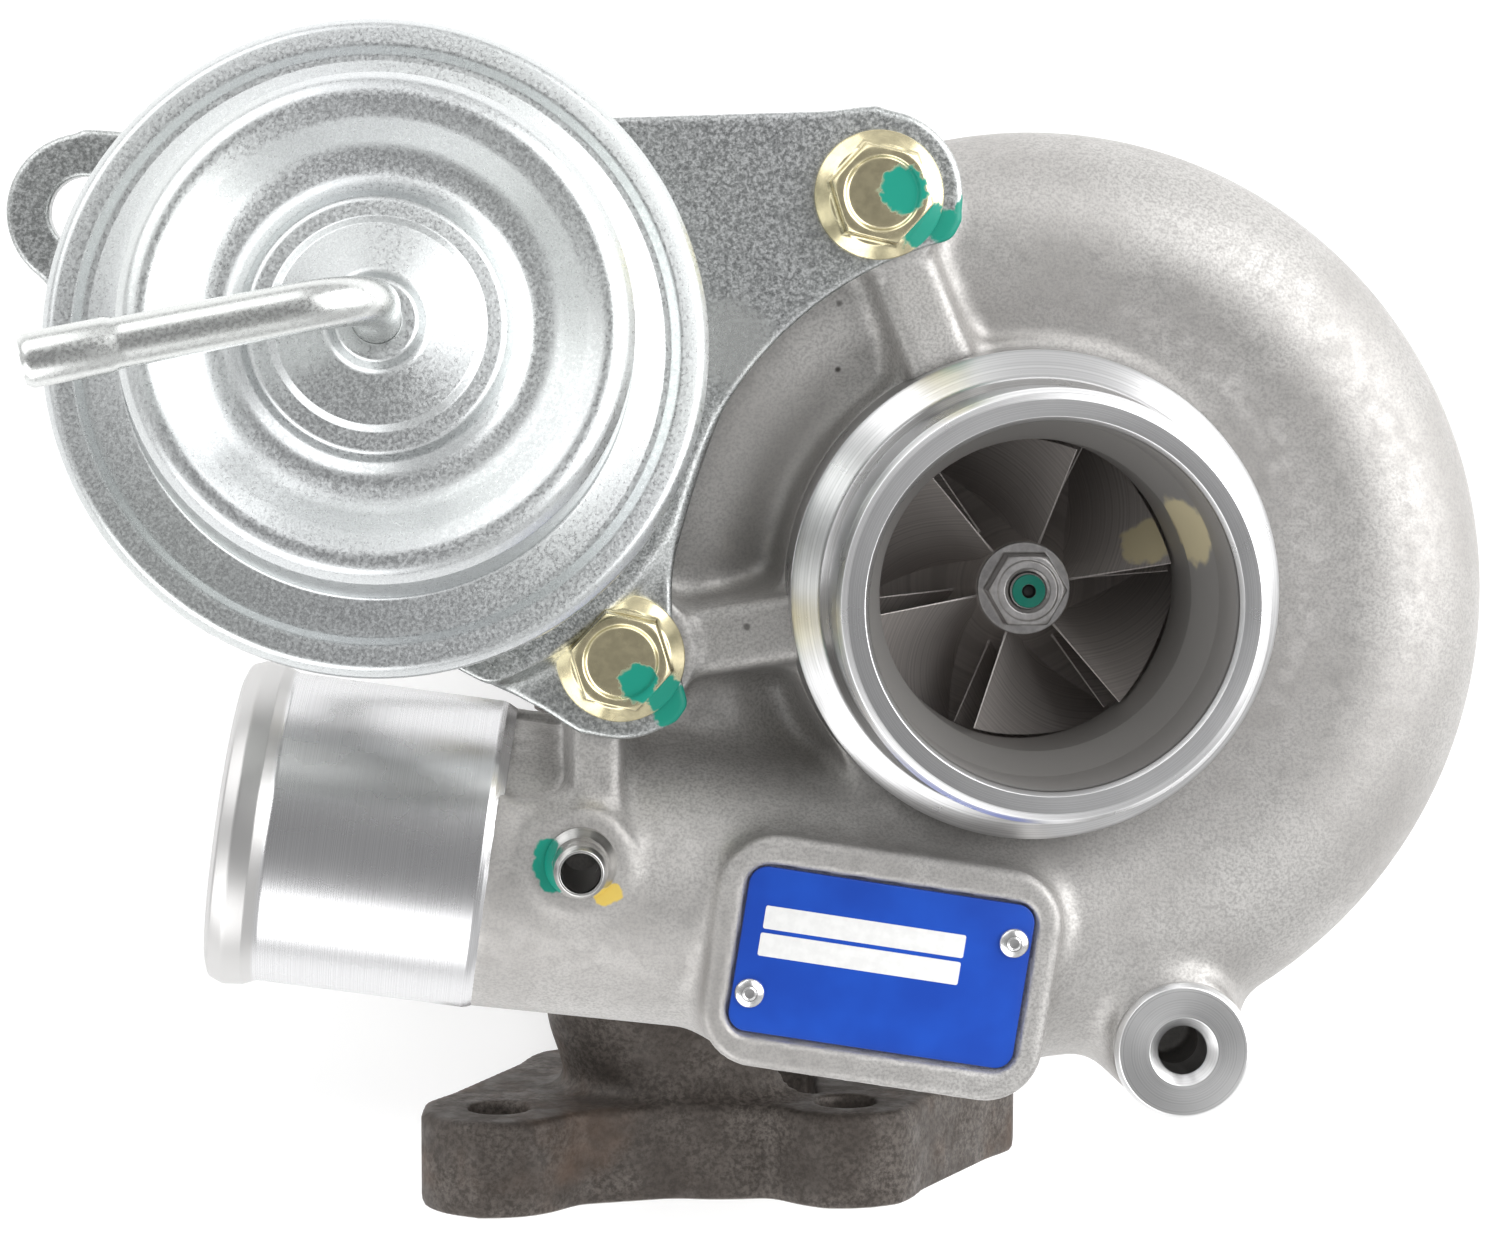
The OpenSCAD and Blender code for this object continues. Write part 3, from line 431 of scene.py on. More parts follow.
def poly_dist(x, y, pts):
    """Outline distance of a closed polygon."""
    d = None
    inside = np.zeros(np.broadcast(x, y).shape, bool)
    n = len(pts)
    for i in range(n):
        ax, ay = pts[i]
        bx, by = pts[(i + 1) % n]
        ex, ey = bx - ax, by - ay
        wx, wy = x - ax, y - ay
        t = np.clip((wx * ex + wy * ey) / (ex * ex + ey * ey), 0, 1)
        dd = (wx - ex * t) ** 2 + (wy - ey * t) ** 2
        d = dd if d is None else np.minimum(d, dd)
        if ay != by:
            cross = ((y >= ay) != (y >= by)) & (x < ax + (y - ay) * ex / ey)
            inside ^= cross
    d = np.sqrt(d)
    return np.where(inside, -d, d)


def local(x, y, z, matrix):
    """Coordinates in a placed frame, in millimetres."""
    inv = np.array(matrix.inverted())
    o = inv[:3, 3] * 1000
    return tuple(inv[i, 0] * x + inv[i, 1] * y + inv[i, 2] * z + o[i] for i in range(3))


class Space:
    """A block of space sampled on a grid, for shapes given as distances."""

    def __init__(self, lo, hi, step):
        self.lo, self.step = np.array(lo, np.float32), step
        n = [int(math.ceil((b - a) / step)) + 1 for a, b in zip(lo, hi)]
        ax = [(a + step * np.arange(k)).astype(np.float32) for a, k in zip(lo, n)]
        self.x, self.y, self.z = ax[0][:, None, None], ax[1][None, :, None], ax[2][None, None, :]
        self.n = n

    def mesh(self, name, d):
        """Mesh of the surface where d is 0, with its points drawn onto that surface in two passes."""
        d = np.array(np.broadcast_to(d, self.n), np.float32)
        for side in ([0, -1],), (slice(None), [0, -1]), (slice(None), slice(None), [0, -1]):
            d[side] = np.maximum(d[side], OPEN_SPACE)
        grid = vdb.FloatGrid()
        grid.copyFromArray(d)
        pts, tris, quads = grid.convertToPolygons(isovalue=0.0, adaptivity=0.0)
        pts = np.asarray(pts, np.float64)
        grad = [g.astype(np.float32) for g in np.gradient(d, self.step)]
        top = np.array(self.n) - 1.001
        for _ in range(2):
            q = np.clip(pts, 0, top)
            i = q.astype(int)
            f = q - i
            normal = np.zeros((len(pts), 3))
            value = np.zeros(len(pts))
            for corner in itertools.product((0, 1), repeat=3):
                wx, wy, wz = (f[:, k] if far else 1 - f[:, k] for k, far in enumerate(corner))
                w = wx * wy * wz
                at = tuple(i[:, k] + far for k, far in enumerate(corner))
                value += w * d[at]
                for k in range(3):
                    normal[:, k] += w * grad[k][at]
            size = np.linalg.norm(normal, axis=1, keepdims=True)
            unit = normal / np.maximum(size, 1e-6)
            far = np.clip(value / np.maximum(size[:, 0], 0.3), -MOST_STEP * self.step, MOST_STEP * self.step)
            pts = pts - unit * (far / self.step)[:, None]
        world = (self.lo + pts * self.step) * MM
        mesh = bpy.data.meshes.new(name)
        quads = np.asarray(quads, np.int64)
        tris = np.asarray(tris, np.int64).reshape(-1, 3)
        a, b, c = (world[quads[:, k]] for k in range(3))
        flip = np.einsum("ij,ij->i", np.cross(b - a, c - a), unit[quads[:, 0]]).sum() < 0
        loops = np.concatenate([quads[:, ::-1].ravel() if flip else quads.ravel(),
                                tris[:, ::-1].ravel() if flip else tris.ravel()])
        mesh.vertices.add(len(world))
        mesh.vertices.foreach_set("co", world.astype(np.float32).ravel())
        mesh.loops.add(len(loops))
        mesh.loops.foreach_set("vertex_index", loops.astype(np.int32))
        mesh.polygons.add(len(quads) + len(tris))
        begin = np.concatenate([np.arange(len(quads)) * 4, len(quads) * 4 + np.arange(len(tris)) * 3])
        mesh.polygons.foreach_set("loop_start", begin.astype(np.int32))
        mesh.update(calc_edges=True)
        mesh.validate()
        mesh.polygons.foreach_set("use_smooth", [True] * len(mesh.polygons))
        if len(mesh.vertices) == len(unit):
            mesh.normals_split_custom_set_from_vertices(unit.tolist())
        print("grid mesh", name, len(mesh.polygons), "faces")
        return mesh


COARSE = 1.0

# ======================= materials =======================
M = {"cast": cast_aluminium("cast_aluminium_skin")}
m = M["turned"] = turned("turned_aluminium", base=(0.73, 0.73, 0.735), rough=0.28)
# painted shade: a darker, less metallic grey inside the inlet bore stands in for the shade there
painted_bore_shade = m.times(m.ramp(m.radius(), 0.02505, 0.02512, 1, 0), m.ramp(m.xyz()[2], 0.1705, 0.1712, 1, 0))
m.over(painted_bore_shade, (0.33, 0.32, 0.31), 0.5, 0.35)
m.over(m.times(m.blob((21.9, 9.8, 151.5), 5.2, 0.25, 500), 0.85), (0.66, 0.58, 0.36), 0.5)    # yellow check mark
m = M["turned_out"] = turned("turned_aluminium_spigot", base=(0.69, 0.69, 0.70), rough=0.27, aniso=0.4)
m.over(m.ramp(m.xyz()[2], 0.1022, 0.1028), (0.56, 0.555, 0.55), 0.36, 0.95)    # the end bead is duller
M["faced"] = turned("faced_aluminium", base=(0.80, 0.80, 0.80), rough=0.3, pitch=5200, strength=0.4)
M["cover"] = speckled_zinc("zinc_plated_cover", base=(0.68, 0.70, 0.708), dark=(0.52, 0.535, 0.545),
                           rough=0.33, grain=4300, amount=0.7, relief=0.22)
M["bright_zinc"] = speckled_zinc("zinc_plated_pipe", base=(0.68, 0.69, 0.685), dark=(0.5, 0.51, 0.51),
                                 rough=0.27, grain=4200, amount=0.3, relief=0.16)
M["bracket"] = speckled_zinc("zinc_plated_bracket", base=(0.60, 0.61, 0.62), dark=(0.30, 0.31, 0.315),
                             rough=0.34, grain=3000, amount=0.85, relief=0.4)
M["yellow_zinc"] = plain_metal("yellow_zinc_bolt", (0.80, 0.72, 0.47), 0.24, grain=500, relief=0.12)
m = M["wheel"] = turned("milled_wheel", base=(0.70, 0.655, 0.63), rough=0.46, pitch=2600, strength=0.25, aniso=0.2)
m.set("Metallic", 0.45)
m.over(m.blob((17.8, 7.4, 134), 4.2, 0.3, 500), (0.90, 0.80, 0.52), 0.5)
M["steel"] = plain_metal("machined_steel", (0.66, 0.645, 0.64), 0.33, metal=0.8)
M["dark_steel"] = plain_metal("oiled_steel", (0.30, 0.29, 0.285), 0.4)
M["alloy"] = cast_iron("nickel_alloy_casting", (0.17, 0.155, 0.145), (0.30, 0.28, 0.26))
M["iron"] = cast_iron("cast_iron_skin", (0.075, 0.062, 0.053), (0.155, 0.135, 0.12))
M["bronze"] = plain_metal("bearing_bronze", (0.72, 0.50, 0.24), 0.3)
M["rubber"] = polymer("black_rubber", (0.02, 0.02, 0.021), 0.6)
M["guide"] = polymer("guide_polymer", (0.035, 0.035, 0.038), 0.4)
M["label_white"] = polymer("label_white", (0.80, 0.80, 0.79), 0.35)
M["screw"] = plain_metal("bright_rivet", (0.80, 0.80, 0.80), 0.22, grain=700)
m = M["blue"] = Mat("blue_plate_face", rough=0.28, metal=0.25)
m.set("Base Color", m.mix(m.ramp(m.noise(90, 3), 0.3, 0.7), (0.007, 0.065, 0.47), (0.010, 0.09, 0.58)))
m.bump(m.noise(900, 2), 0.08, 0.05)
m.set("Coat Weight", 0.35)

# paint marks on the two bolts and the bracket round them
for spot, size in (((UPPER[0] + 2.9, UPPER[1] + 0.4, 158.8), 3.3), ((UPPER[0] + 6.2, UPPER[1] - 4.2, 153.5), 3.6),
                   ((LOWER[0] + 2.4, LOWER[1] - 2.9, 158.8), 2.7), ((LOWER[0] + 6.4, LOWER[1] - 5.2, 153.5), 2.8)):
    M["yellow_zinc"].over(M["yellow_zinc"].blob(spot, size), GREEN, 0.42)
for spot, size in (((UPPER[0] + 9.6, UPPER[1] - 4.4, 151.5), 2.6), ((LOWER[0] + 7.8, LOWER[1] - 7.2, 151.5), 3.2),
                   ((UPPER[0] + 12.6, UPPER[1] - 2.0, 151.0), 2.0)):
    M["bracket"].over(M["bracket"].blob(spot, size), GREEN, 0.42)
m = M["bracket"]
m.over(m.times(m.blob((-43, 35.5, 151.5), 5.5, 0.12, 300, 0.35), 0.8), (0.84, 0.86, 0.84), 0.24, 1.0)    # painted highlight: a bright, smooth spot on the bracket where its bent tab catches the light


# ======================= compressor housing =======================
def compressor_casting():
    s = Space((-98, -90, 103.5), (73, 72, 156), 0.8 * COARSE)
    x, y, z = s.x, s.y, s.z
    r = np.hypot(x, y)
    w = (TONGUE - np.degrees(np.arctan2(y, x))) % 360
    gap = w > SWEEP
    tube_r = scroll_r(np.where(gap, 0, w)).astype(np.float32)
    scroll = np.hypot(r - SCROLL_RC, z - (SCROLL_Z + tube_r)) - tube_r
    inner = scroll + 4.0
    u, v, t = local(x, y, z, OUTLET)
    off = np.hypot(u, v)
    outlet = smax(off - (20.0 + 2.1 * np.clip(t, -6, OUT_CAST) / OUT_CAST), np.maximum(t - OUT_CAST, -3 - t), 0.8)
    near = np.where(gap | (w < 60), 7.0, np.where(w < 90, 7.0 - (w - 60) / 30 * 6.9, 0.05))
    d = smin(scroll, outlet, near)
    neck = poly_dist(r, z, [(0, 104), (41, 104), (40, 113), (38.6, 122), (36, 132), (35.0, 139.8), (0, 139.8)])
    d = smin(d, neck, 7)
    d = smin(d, rounded(r - 58.5, span(z, 106, 116), 0.8), 1.5)
    pads = None
    for p in (UPPER, LOWER):
        pad = rounded(disc(x, y, p, 10.5 + np.clip((140 - z) * 0.06, 0, 2)), span(z, 112, PAD_Z), 0.6)
        ln = math.hypot(*p)
        c = (p[0] * (1 - 13 / ln), p[1] * (1 - 13 / ln))
        grow = np.clip((PAD_Z - 1 - z) * 0.12, 0, 3)
        web = rounded(slab_box(x, y, c[0], c[1], math.degrees(math.atan2(-p[1], -p[0])), 26, 9, 0.5) - grow,
                      span(z, 116, PAD_Z - 1), 1.6)
        pad = smin(pad, web, 2)
        pads = pad if pads is None else np.minimum(pads, pad)
    d = smin(d, pads, 3.5)
    nip = rounded(disc(x, y, NIPPLE, 7.6 + np.clip((151.5 - z) * 0.10, 0, 2)), span(z, 120, 151.5), 1.0)
    web = rounded(slab_box(x, y, -61.8, -24, 0, 6.8, 26, 1.0) - np.clip((149.5 - z) * 0.08, 0, 1.6),
                  span(z, 120, 149.5), 1.2)
    d = smin(d, smin(nip, web, 3), 2.2)
    recess = rounded(slab_box(x, y, -70.9, -19.0, 0, 8.6, 18.0, 2.5) - np.clip((z - 130) * 0.03, 0, 0.6),
                     span(z, 125, 160))
    d = smax(d, -smax(recess, 20.0 - off, 0.8), 1.0)
    boss = rounded(disc(x, y, BOSS, 9.9 + np.clip((143 - z) * 0.05, 0, 2)), span(z, 116, 148.2), 0.8)
    inward = math.degrees(math.atan2(-BOSS[1], -BOSS[0]))
    link = rounded(slab_box(x, y, BOSS[0] * 0.86, BOSS[1] * 0.86, inward, 20, 15, 2), span(z, 114, 134), 2)
    d = smin(d, smin(boss, link, 5), 5)
    tag = rounded(slab_box(x, y, TAG[0], TAG[1], TAG_TURN, 48.7, 33.3, 8) - np.clip((150 - z) * 0.10, 0, 2.2),
                  span(z, 128, 153), 1.0)
    d = smin(d, tag, 3)
    pocket = rounded(slab_box(x, y, TAG[0], TAG[1], TAG_TURN, 41.8, 24.6, 3.5), span(z, 151.2, 160))
    d = smax(d, -pocket, 0.5)
    passage = poly_dist(r, z, [(0, 190), (28, 190), (28, 141), (25.5, 137), (30, 122), (42, 119), (42, 112.6),
                               (50.1, 112.6), (50.1, 100), (0, 100)])
    bore = np.maximum(off - 18.5, -12 - t)
    d = smax(d, -np.minimum(np.minimum(np.where(gap, 9, inner), bore), passage), 0.3)
    hollow = np.minimum(disc(x, y, NIPPLE, 3.1) + 0 * z, np.maximum(disc(x, y, BOSS, 4.2), 130 - z))
    d = np.maximum(d, -np.maximum(hollow, 130 - z))
    for p in (UPPER, LOWER):
        d = np.maximum(d, -np.maximum(disc(x, y, p, 4.1), 123 - z))
    for c in around(6, 15, 54.2):
        d = np.maximum(d, -np.maximum(disc(x, y, c, 2.7), z - 114))
    return s.mesh("compressor_casting", d)


show(compressor_casting(), "cast", replaces="compressor_housing")


def shroud(t, gap):
    return (21.5 + gap + 6.5 * (1 - math.cos(rad(90 * t))), 137 - 20 * math.sin(rad(90 * t)) + gap * t)


inlet = (soften([(34.95, 138.6), (34.9, 141), (34.6, 149.5), (33.2, 150.6), (30.6, 152.6), (29.6, 154.8),
                 (29.6, 170.6), (28.9, 171.7), (28.0, 172), (25.7, 172), (25.1, 171.3), (24.9, 156.2),
                 (22.7, 151.2), (21.9, 149.2)],
                [0, 0, 0.5, 0.5, 2.0, 0.5, 0.3, 0.3, 0.3, 0.2, 0.2, 1.5, 1.5, 0.6], 5)
         + [shroud(k / 12, 0.4) for k in range(13)] + [(42.2, 117.4), (42.2, 119.5), (30, 123), (28.4, 138.6)])
show(lathe("inlet_collar", inlet, 240), "turned")

spigot = soften([(19.3, 70), (21.6, 70), (22.3, 71.4), (22.5, 72.2), (22.5, 102), (23.3, 104), (23.6, 106.8),
                 (22.8, 108.9), (21.2, 109.5), (20.0, 109.5), (19.3, 108.8)],
                [0, 0.2, 0.2, 0.3, 1.2, 1.2, 1.4, 1.0, 0.6, 0.4, 0.4], 5)
show(lathe("outlet_spigot", spigot, 200), "turned_out", OUTLET)

boss_top = soften([(3.4, 141), (9.7, 141), (9.9, 149.2), (9.2, 150), (4.9, 150), (3.5, 148.6)],
                  [0, 0, 0.3, 0.4, 0.2, 0.2], 4)
show(lathe("support_boss_face", boss_top, 120), "faced", frame_matrix((*BOSS, 0)))

# ======================= plate, rivets, nipple =======================
TAG_M = frame_matrix((*TAG, 0), ("Z", TAG_TURN))


def round_rect(sx, sy, r, n=10, cx=0.0, cy=0.0):
    pts = []
    for ax, ay, a0 in ((1, 1, 0), (-1, 1, 90), (-1, -1, 180), (1, -1, 270)):
        for k in range(n + 1):
            a = rad(a0 + 90 * k / n)
            pts.append((cx + ax * (sx / 2 - r) + r * math.cos(a), cy + ay * (sy / 2 - r) + r * math.sin(a)))
    return pts


def prism(name, outline, z0, z1, edge, steps=3):
    """Flat part from an outline, with its top edge rounded over."""
    n = len(outline)
    o = np.array(outline, float)
    prev, nxt = np.roll(o, 1, 0), np.roll(o, -1, 0)
    t = nxt - prev
    t /= np.linalg.norm(t, axis=1, keepdims=True)
    inward = np.stack([-t[:, 1], t[:, 0]], 1)
    if (nxt[:, 1] * o[:, 0] - nxt[:, 0] * o[:, 1]).sum() < 0:
        inward = -inward
    turns = [rad(90 * k / steps) for k in range(steps + 1)]
    rings = [(0.0, z0)] + [(edge * (1 - math.cos(a)), z1 - edge + edge * math.sin(a)) for a in turns]
    verts = [(*(o[j] + inward[j] * s), z) for s, z in rings for j in range(n)]
    return mesh_of(name, verts, ring_faces(len(rings), n), 50)


show(prism("id_plate_face", round_rect(40.8, 23.6, 2.6), 151.2, 152.0, 0.2), "blue", TAG_M, "id_plate")
for k, (cx, cy) in enumerate(((-3.2, 4.7), (-3.35, 0.8))):
    show(prism(f"id_plate_bar_{k + 1}", round_rect(28.6, 3.3, 0.3, 4, cx, cy), 151.9, 152.05, 0.03, 2),
         "label_white", TAG_M)
rivet = lathe("rivet_head", soften([(0, 150), (1.15, 150), (1.15, 151.9), (2.15, 151.9), (2.1, 152.5), (1.0, 152.95),
                                    (0.75, 152.7), (0, 152.65)], [0, 0, 0, 0.2, 0.8, 0.3, 0.2, 0], 4), 48)
for k, s in enumerate((-1, 1)):
    show(rivet.copy(), "screw", TAG_M @ frame_matrix((s * 17.9, s * 6.3, 0)),
         None if k else "id_plate_rivets", name=f"id_plate_rivet_{k + 1}")
M["nipple"] = turned("turned_nipple", base=(0.66, 0.655, 0.64), rough=0.26, pitch=5000, strength=0.3)
nipple = soften([(2.65, 141), (3.2, 141), (3.2, 151.2), (5.1, 151.2), (5.1, 152.6), (4.5, 153.5), (3.95, 154.4),
                 (3.75, 156), (3.75, 160.6), (3.2, 162), (2.85, 162), (2.65, 161.5)],
                [0, 0, 0, 0.3, 0.4, 0.5, 0.8, 0.8, 0.5, 0.3, 0.1, 0.1], 4)
show(lathe("boost_nipple_body", nipple, 96), "nipple", frame_matrix((*NIPPLE, 0)), "boost_nipple")
for dx, dy, size in ((-4.6, 1.6, 1.9), (-4.9, -0.6, 1.9), (-4.2, -2.6, 1.6)):
    M["cast"].over(M["cast"].blob((NIPPLE[0] + dx, NIPPLE[1] + dy, 152), size, 0.25), GREEN, 0.42)
    M["nipple"].over(M["nipple"].blob((dx, dy, 152.6), size + 0.3, 0.25), GREEN, 0.42)
for dx, dy, size in ((3.2, -4.6, 1.5), (4.6, -4.2, 1.3)):
    M["cast"].over(M["cast"].blob((NIPPLE[0] + dx, NIPPLE[1] + dy, 151.8), size, 0.3), YELLOW, 0.5)
    M["nipple"].over(M["nipple"].blob((dx, dy, 152.2), size, 0.3), YELLOW, 0.5)


# ======================= bracket and its bolts =======================
def bracket_shape():
    s = Space((-145, -23, 140), (-8, 70, 160), 0.45 * COARSE)
    x, y, z = s.x, s.y, s.z
    body = poly_dist(x, y, [(-131.9, 64.1), (-22.8, 67.7), (-11.5, 52.5), (-16.6, 45.6), (-35, 36), (-46.9, -6),
                            (-51, -17), (-64, -18.6), (-84, -8), (-110, 20), (-136, 43)])
    eyes = np.minimum(np.minimum(disc(x, y, UPPER, 11.8), disc(x, y, LOWER, 11.6)), disc(x, y, EAR, 10.9))
    flat = smin(eyes, body, 2)
    flat = smax(flat, -disc(x, y, (0, 0), 51.2), 0.8)
    u, v, t = local(x, y, z, CAN)
    rho = np.hypot(u, v)
    plate = rounded(flat + 0 * z, span(z, PAD_Z, PAD_Z + PLATE_T), 0.7)
    plate = smax(plate, 41.5 - rho, 1.0)
    seat = rounded(smax(flat + 0 * z, rho - 45.5, 1.5), span(t, -30.3, SEAT_Z), 0.7)
    d = smin(plate, seat, 4)
    d = np.maximum(d, -np.maximum(rho - 37.5, SEAT_Z - t))
    for p, r in ((UPPER, 4.4), (LOWER, 4.4), (EAR, 5.0)):
        d = smax(d, r - np.hypot(x - p[0], y - p[1]) + 0 * z, 0.5)
    d = np.maximum(d, 7.1 - rho)
    return s.mesh("actuator_bracket_plate", d)


show(bracket_shape(), "bracket", replaces="actuator_bracket")


def hex_dist(x, y, af, turn=0.0):
    d = None
    for k in range(3):
        a = rad(turn + 60 * k + 30)
        e = np.abs(x * math.cos(a) + y * math.sin(a)) - af / 2
        d = e if d is None else np.maximum(d, e)
    return d


def bolt_shape():
    s = Space((-9.6, -9.6, -0.6), (9.6, 9.6, 8.6), 0.17 * COARSE)
    x, y, z = s.x, s.y, s.z
    r = np.hypot(x, y)
    flange = poly_dist(r, z, [(0, 0), (8.7, 0), (8.95, 0.3), (8.95, 1.0), (8.5, 1.35), (7.0, 2.5), (0, 3)]) - 0.05
    head = smax(hex_dist(x, y, 12.4, -13) + 0 * z, span(z, 0.5, 7.8), 0.25)
    head = smax(head, (r - 6.35) * 0.5 + (z - 7.8) * 0.866, 0.2)
    dish = smax(r - 5.0, 7.25 - z, 0.5)
    return s.mesh("flange_bolt", smax(smin(head, flange, 0.7), -dish, 0.5))


bolt = bolt_shape()
stem = lathe("bolt_stem", [(0, -23.5), (3.4, -23.5), (4, -22.8), (4, 0.3), (0, 0.3)], 48)
for k, p in enumerate((UPPER, LOWER)):
    for source, name in ((bolt, "bracket_bolt"), (stem, "bracket_bolt_stem")):
        mesh = source.copy()
        mesh.transform(frame_matrix((*p, PAD_Z + PLATE_T)))
        show(mesh, "yellow_zinc", name=f"{name}_{k + 1}",
             replaces="bracket_bolts" if source is bolt and k == 0 else None)

# ======================= actuator =======================
outside = [(41.9, -2.6), (42.9, -2.6), (43.6, -1.6), (43.6, 1.6), (42.6, 3.2), (39.7, 3.4), (38.5, 2.7), (37.7, 2.7),
           (36.0, 3.0), (33.4, 3.5), (32.9, 17.2), (31.7, 19.3), (29.6, 20.1), (26.8, 18.9), (22.8, 16.3),
           (19.4, 16.0), (17.4, 17.5), (16.3, 19.1), (13.9, 19.2), (12.9, 19.9), (6.4, 21.0), (5.2, 23), (3.1, 23)]
inside = [(3.1, 18.6), (13, 17.6), (15.6, 17.6), (18, 15), (23.2, 15.2), (27, 17.4), (29.4, 18.7), (30.6, 18.5),
          (31.5, 17.4), (32.1, 15.8), (32.2, 5.6), (33.0, 3.5), (35, 2.1), (37.6, 1.1), (42.4, 1.1), (42.4, -1.4),
          (41.9, -1.6)]
pressed = [0.2, 0.5, 0.6, 0.9, 1.4, 1.2, 0.8, 0.8, 1.5, 0.6, 0.6, 2.2, 4, 5, 6, 3.5, 2, 1.2, 0.6, 0.5, 1.5, 0.8, 0.2]
cover = soften(outside + inside, pressed + [0] * len(inside), 6)
show(lathe("actuator_cover_shell", cover, 256), "cover", CAN, "actuator_cover")
can = soften([(42.3, -1.4), (42.3, -0.4), (35.9, -0.4), (35.9, -20), (33.5, -24.5), (29, -25.9), (6.1, -25.9),
              (6.1, SEAT_Z), (29.6, SEAT_Z), (34.4, -25.3), (37, -20.5), (37, -1.4)],
             [0, 0, 0, 0, 0, 0, 0, 0, 3, 3, 4, 0.6], 5)
show(lathe("actuator_can_shell", can, 192), "bright_zinc", CAN, "actuator_can")

PIPE_TURN, PIPE_RUN, RISE, BEND, PIPE_R = 118.0, 33.6, 33.2, 9.0, 3.1
path = [(0, 0, 18.2), (0, 0, 22), (0, 0, RISE - 2)]
path += [(BEND * (1 - math.cos(rad(a))), 0, RISE + BEND * math.sin(rad(a))) for a in range(0, 91, 6)]
run_r = [(2, PIPE_R), (PIPE_RUN - 12.4, PIPE_R), (PIPE_RUN - 11.2, 3.12), (PIPE_RUN - 10.4, 3.4),
         (PIPE_RUN - 1.2, 3.4), (PIPE_RUN - 0.6, 3.3), (PIPE_RUN - 0.1, 2.9)]
path += [(BEND + s, 0, RISE + BEND) for s, _ in run_r]
radii = [PIPE_R] * (len(path) - len(run_r)) + [r for _, r in run_r]
pipe_m = CAN @ Matrix.Rotation(rad(PIPE_TURN), 4, "Z")
show(tube("actuator_pipe_tube", path, radii, 48), "bright_zinc", pipe_m, "actuator_pipe")
mouth = soften([(2.1, -9), (3.0, -9), (3.0, -0.4), (2.9, 0), (2.3, 0), (2.1, -0.2)], 0.1, 2)
show(lathe("actuator_pipe_mouth", mouth, 48), "bright_zinc",
     pipe_m @ frame_matrix((BEND + PIPE_RUN, 0, RISE + BEND), ("Y", 90)))


# ======================= compressor wheel, nut and shaft end =======================
def wrapped_blade(hub, tip, wrap, root, edge, rows=30, cols=14):
    """Thin twisted blade with a rounded leading edge and a fillet at its root, as points and faces."""
    verts = []
    for s in (1, -1):
        for i in range(rows + 1):
            t = i / rows
            h, p = np.array(hub(t)), np.array(tip(t))
            for j in range(cols + 1):
                f = (j / cols) ** 1.3
                q = h + (p - h) * f
                thick = edge + (root - edge) * (1 - f) + 1.4 * math.exp(-f * np.linalg.norm(p - h) / 1.0)
                thick *= min(1.0, 0.25 + 2.2 * i / rows * 4) * min(1.0, 0.4 + 6 * (1 - t))
                a = rad(wrap(t)) + s * thick / 2 / max(q[0], 1)
                verts.append((q[0] * math.cos(a), q[0] * math.sin(a), q[1]))
    n, faces = (rows + 1) * (cols + 1), []

    def at(s, i, j):
        return s * n + i * (cols + 1) + j
    for i in range(rows):
        for j in range(cols):
            faces.append((at(0, i, j), at(0, i, j + 1), at(0, i + 1, j + 1), at(0, i + 1, j)))
            faces.append((at(1, i, j), at(1, i + 1, j), at(1, i + 1, j + 1), at(1, i, j + 1)))
    for i in range(rows):
        for j in (0, cols):
            faces.append((at(0, i, j), at(0, i + 1, j), at(1, i + 1, j), at(1, i, j)))
    for j in range(cols):
        for i in (0, rows):
            faces.append((at(0, i, j), at(0, i, j + 1), at(1, i, j + 1), at(1, i, j)))
    return verts, faces


def turned_copies(verts, faces, angles):
    allv, allf = [], []
    v = np.array(verts)
    for a in angles:
        c, s = math.cos(rad(a)), math.sin(rad(a))
        base_n = len(allv)
        allv += [tuple(p) for p in v @ np.array([[c, s, 0], [-s, c, 0], [0, 0, 1]])]
        allf += [tuple(i + base_n for i in f) for f in faces]
    return allv, allf


def hub_pt(t):
    return (6.8 + 21.0 * (1 - math.cos(rad(90 * t))), 134 - 19.4 * math.sin(rad(90 * t)))


def comp_wrap(t):
    return 58 * (1 - (1 - t) ** 1.6)


def blades_mesh(name, first, angles):
    def m(t):
        return first + (1 - first) * t
    v, f = wrapped_blade(lambda t: (hub_pt(m(t))[0] - 0.7, hub_pt(m(t))[1] - 0.5), lambda t: shroud(m(t), -0.1),
                         lambda t: comp_wrap(m(t)), 1.0, 0.5)
    return mesh_of(name, *turned_copies(v, f, angles), 40)


hub = [(2.62, 113.4), (2.62, 134), (6.3, 134), (6.8, 133.6)] + [hub_pt(k / 32) for k in range(2, 32)]
hub += [(27.9, 114.6), (27.9, 113.6), (27.6, 113.4)]
show(lathe("compressor_hub", hub, 160), "wheel", None, "compressor_wheel", "rotor")
for name, first, turn in (("compressor_blades", 0.0, 10), ("compressor_splitters", 0.3, 40)):
    show(blades_mesh(name, first, range(turn, turn + 360, 60)), "wheel", body="rotor")


def nut_shape():
    s = Space((-7.4, -7.4, 133.6), (7.4, 7.4, 140.8), 0.13 * COARSE)
    x, y, z = s.x, s.y, s.z
    r = np.hypot(x, y)
    washer = rounded(r - 6.75, span(z, 134, 135.3), 0.25)
    head = smax(hex_dist(x, y, 10, 0) + 0 * z, span(z, 135, 140.2), 0.2)
    head = smax(head, (r - 5.1) * 0.5 + (z - 140.2) * 0.866, 0.2)
    collar = rounded(r - 4.4, span(z, 136, 140.4), 0.3)
    d = smin(np.minimum(head, collar), washer, 0.5)
    d = smax(d, 2.62 - r + np.maximum(0, z - 139.6) * 0.8, 0.1)
    return s.mesh("impeller_nut_body", d)


show(nut_shape(), "steel", None, "impeller_nut", "rotor")

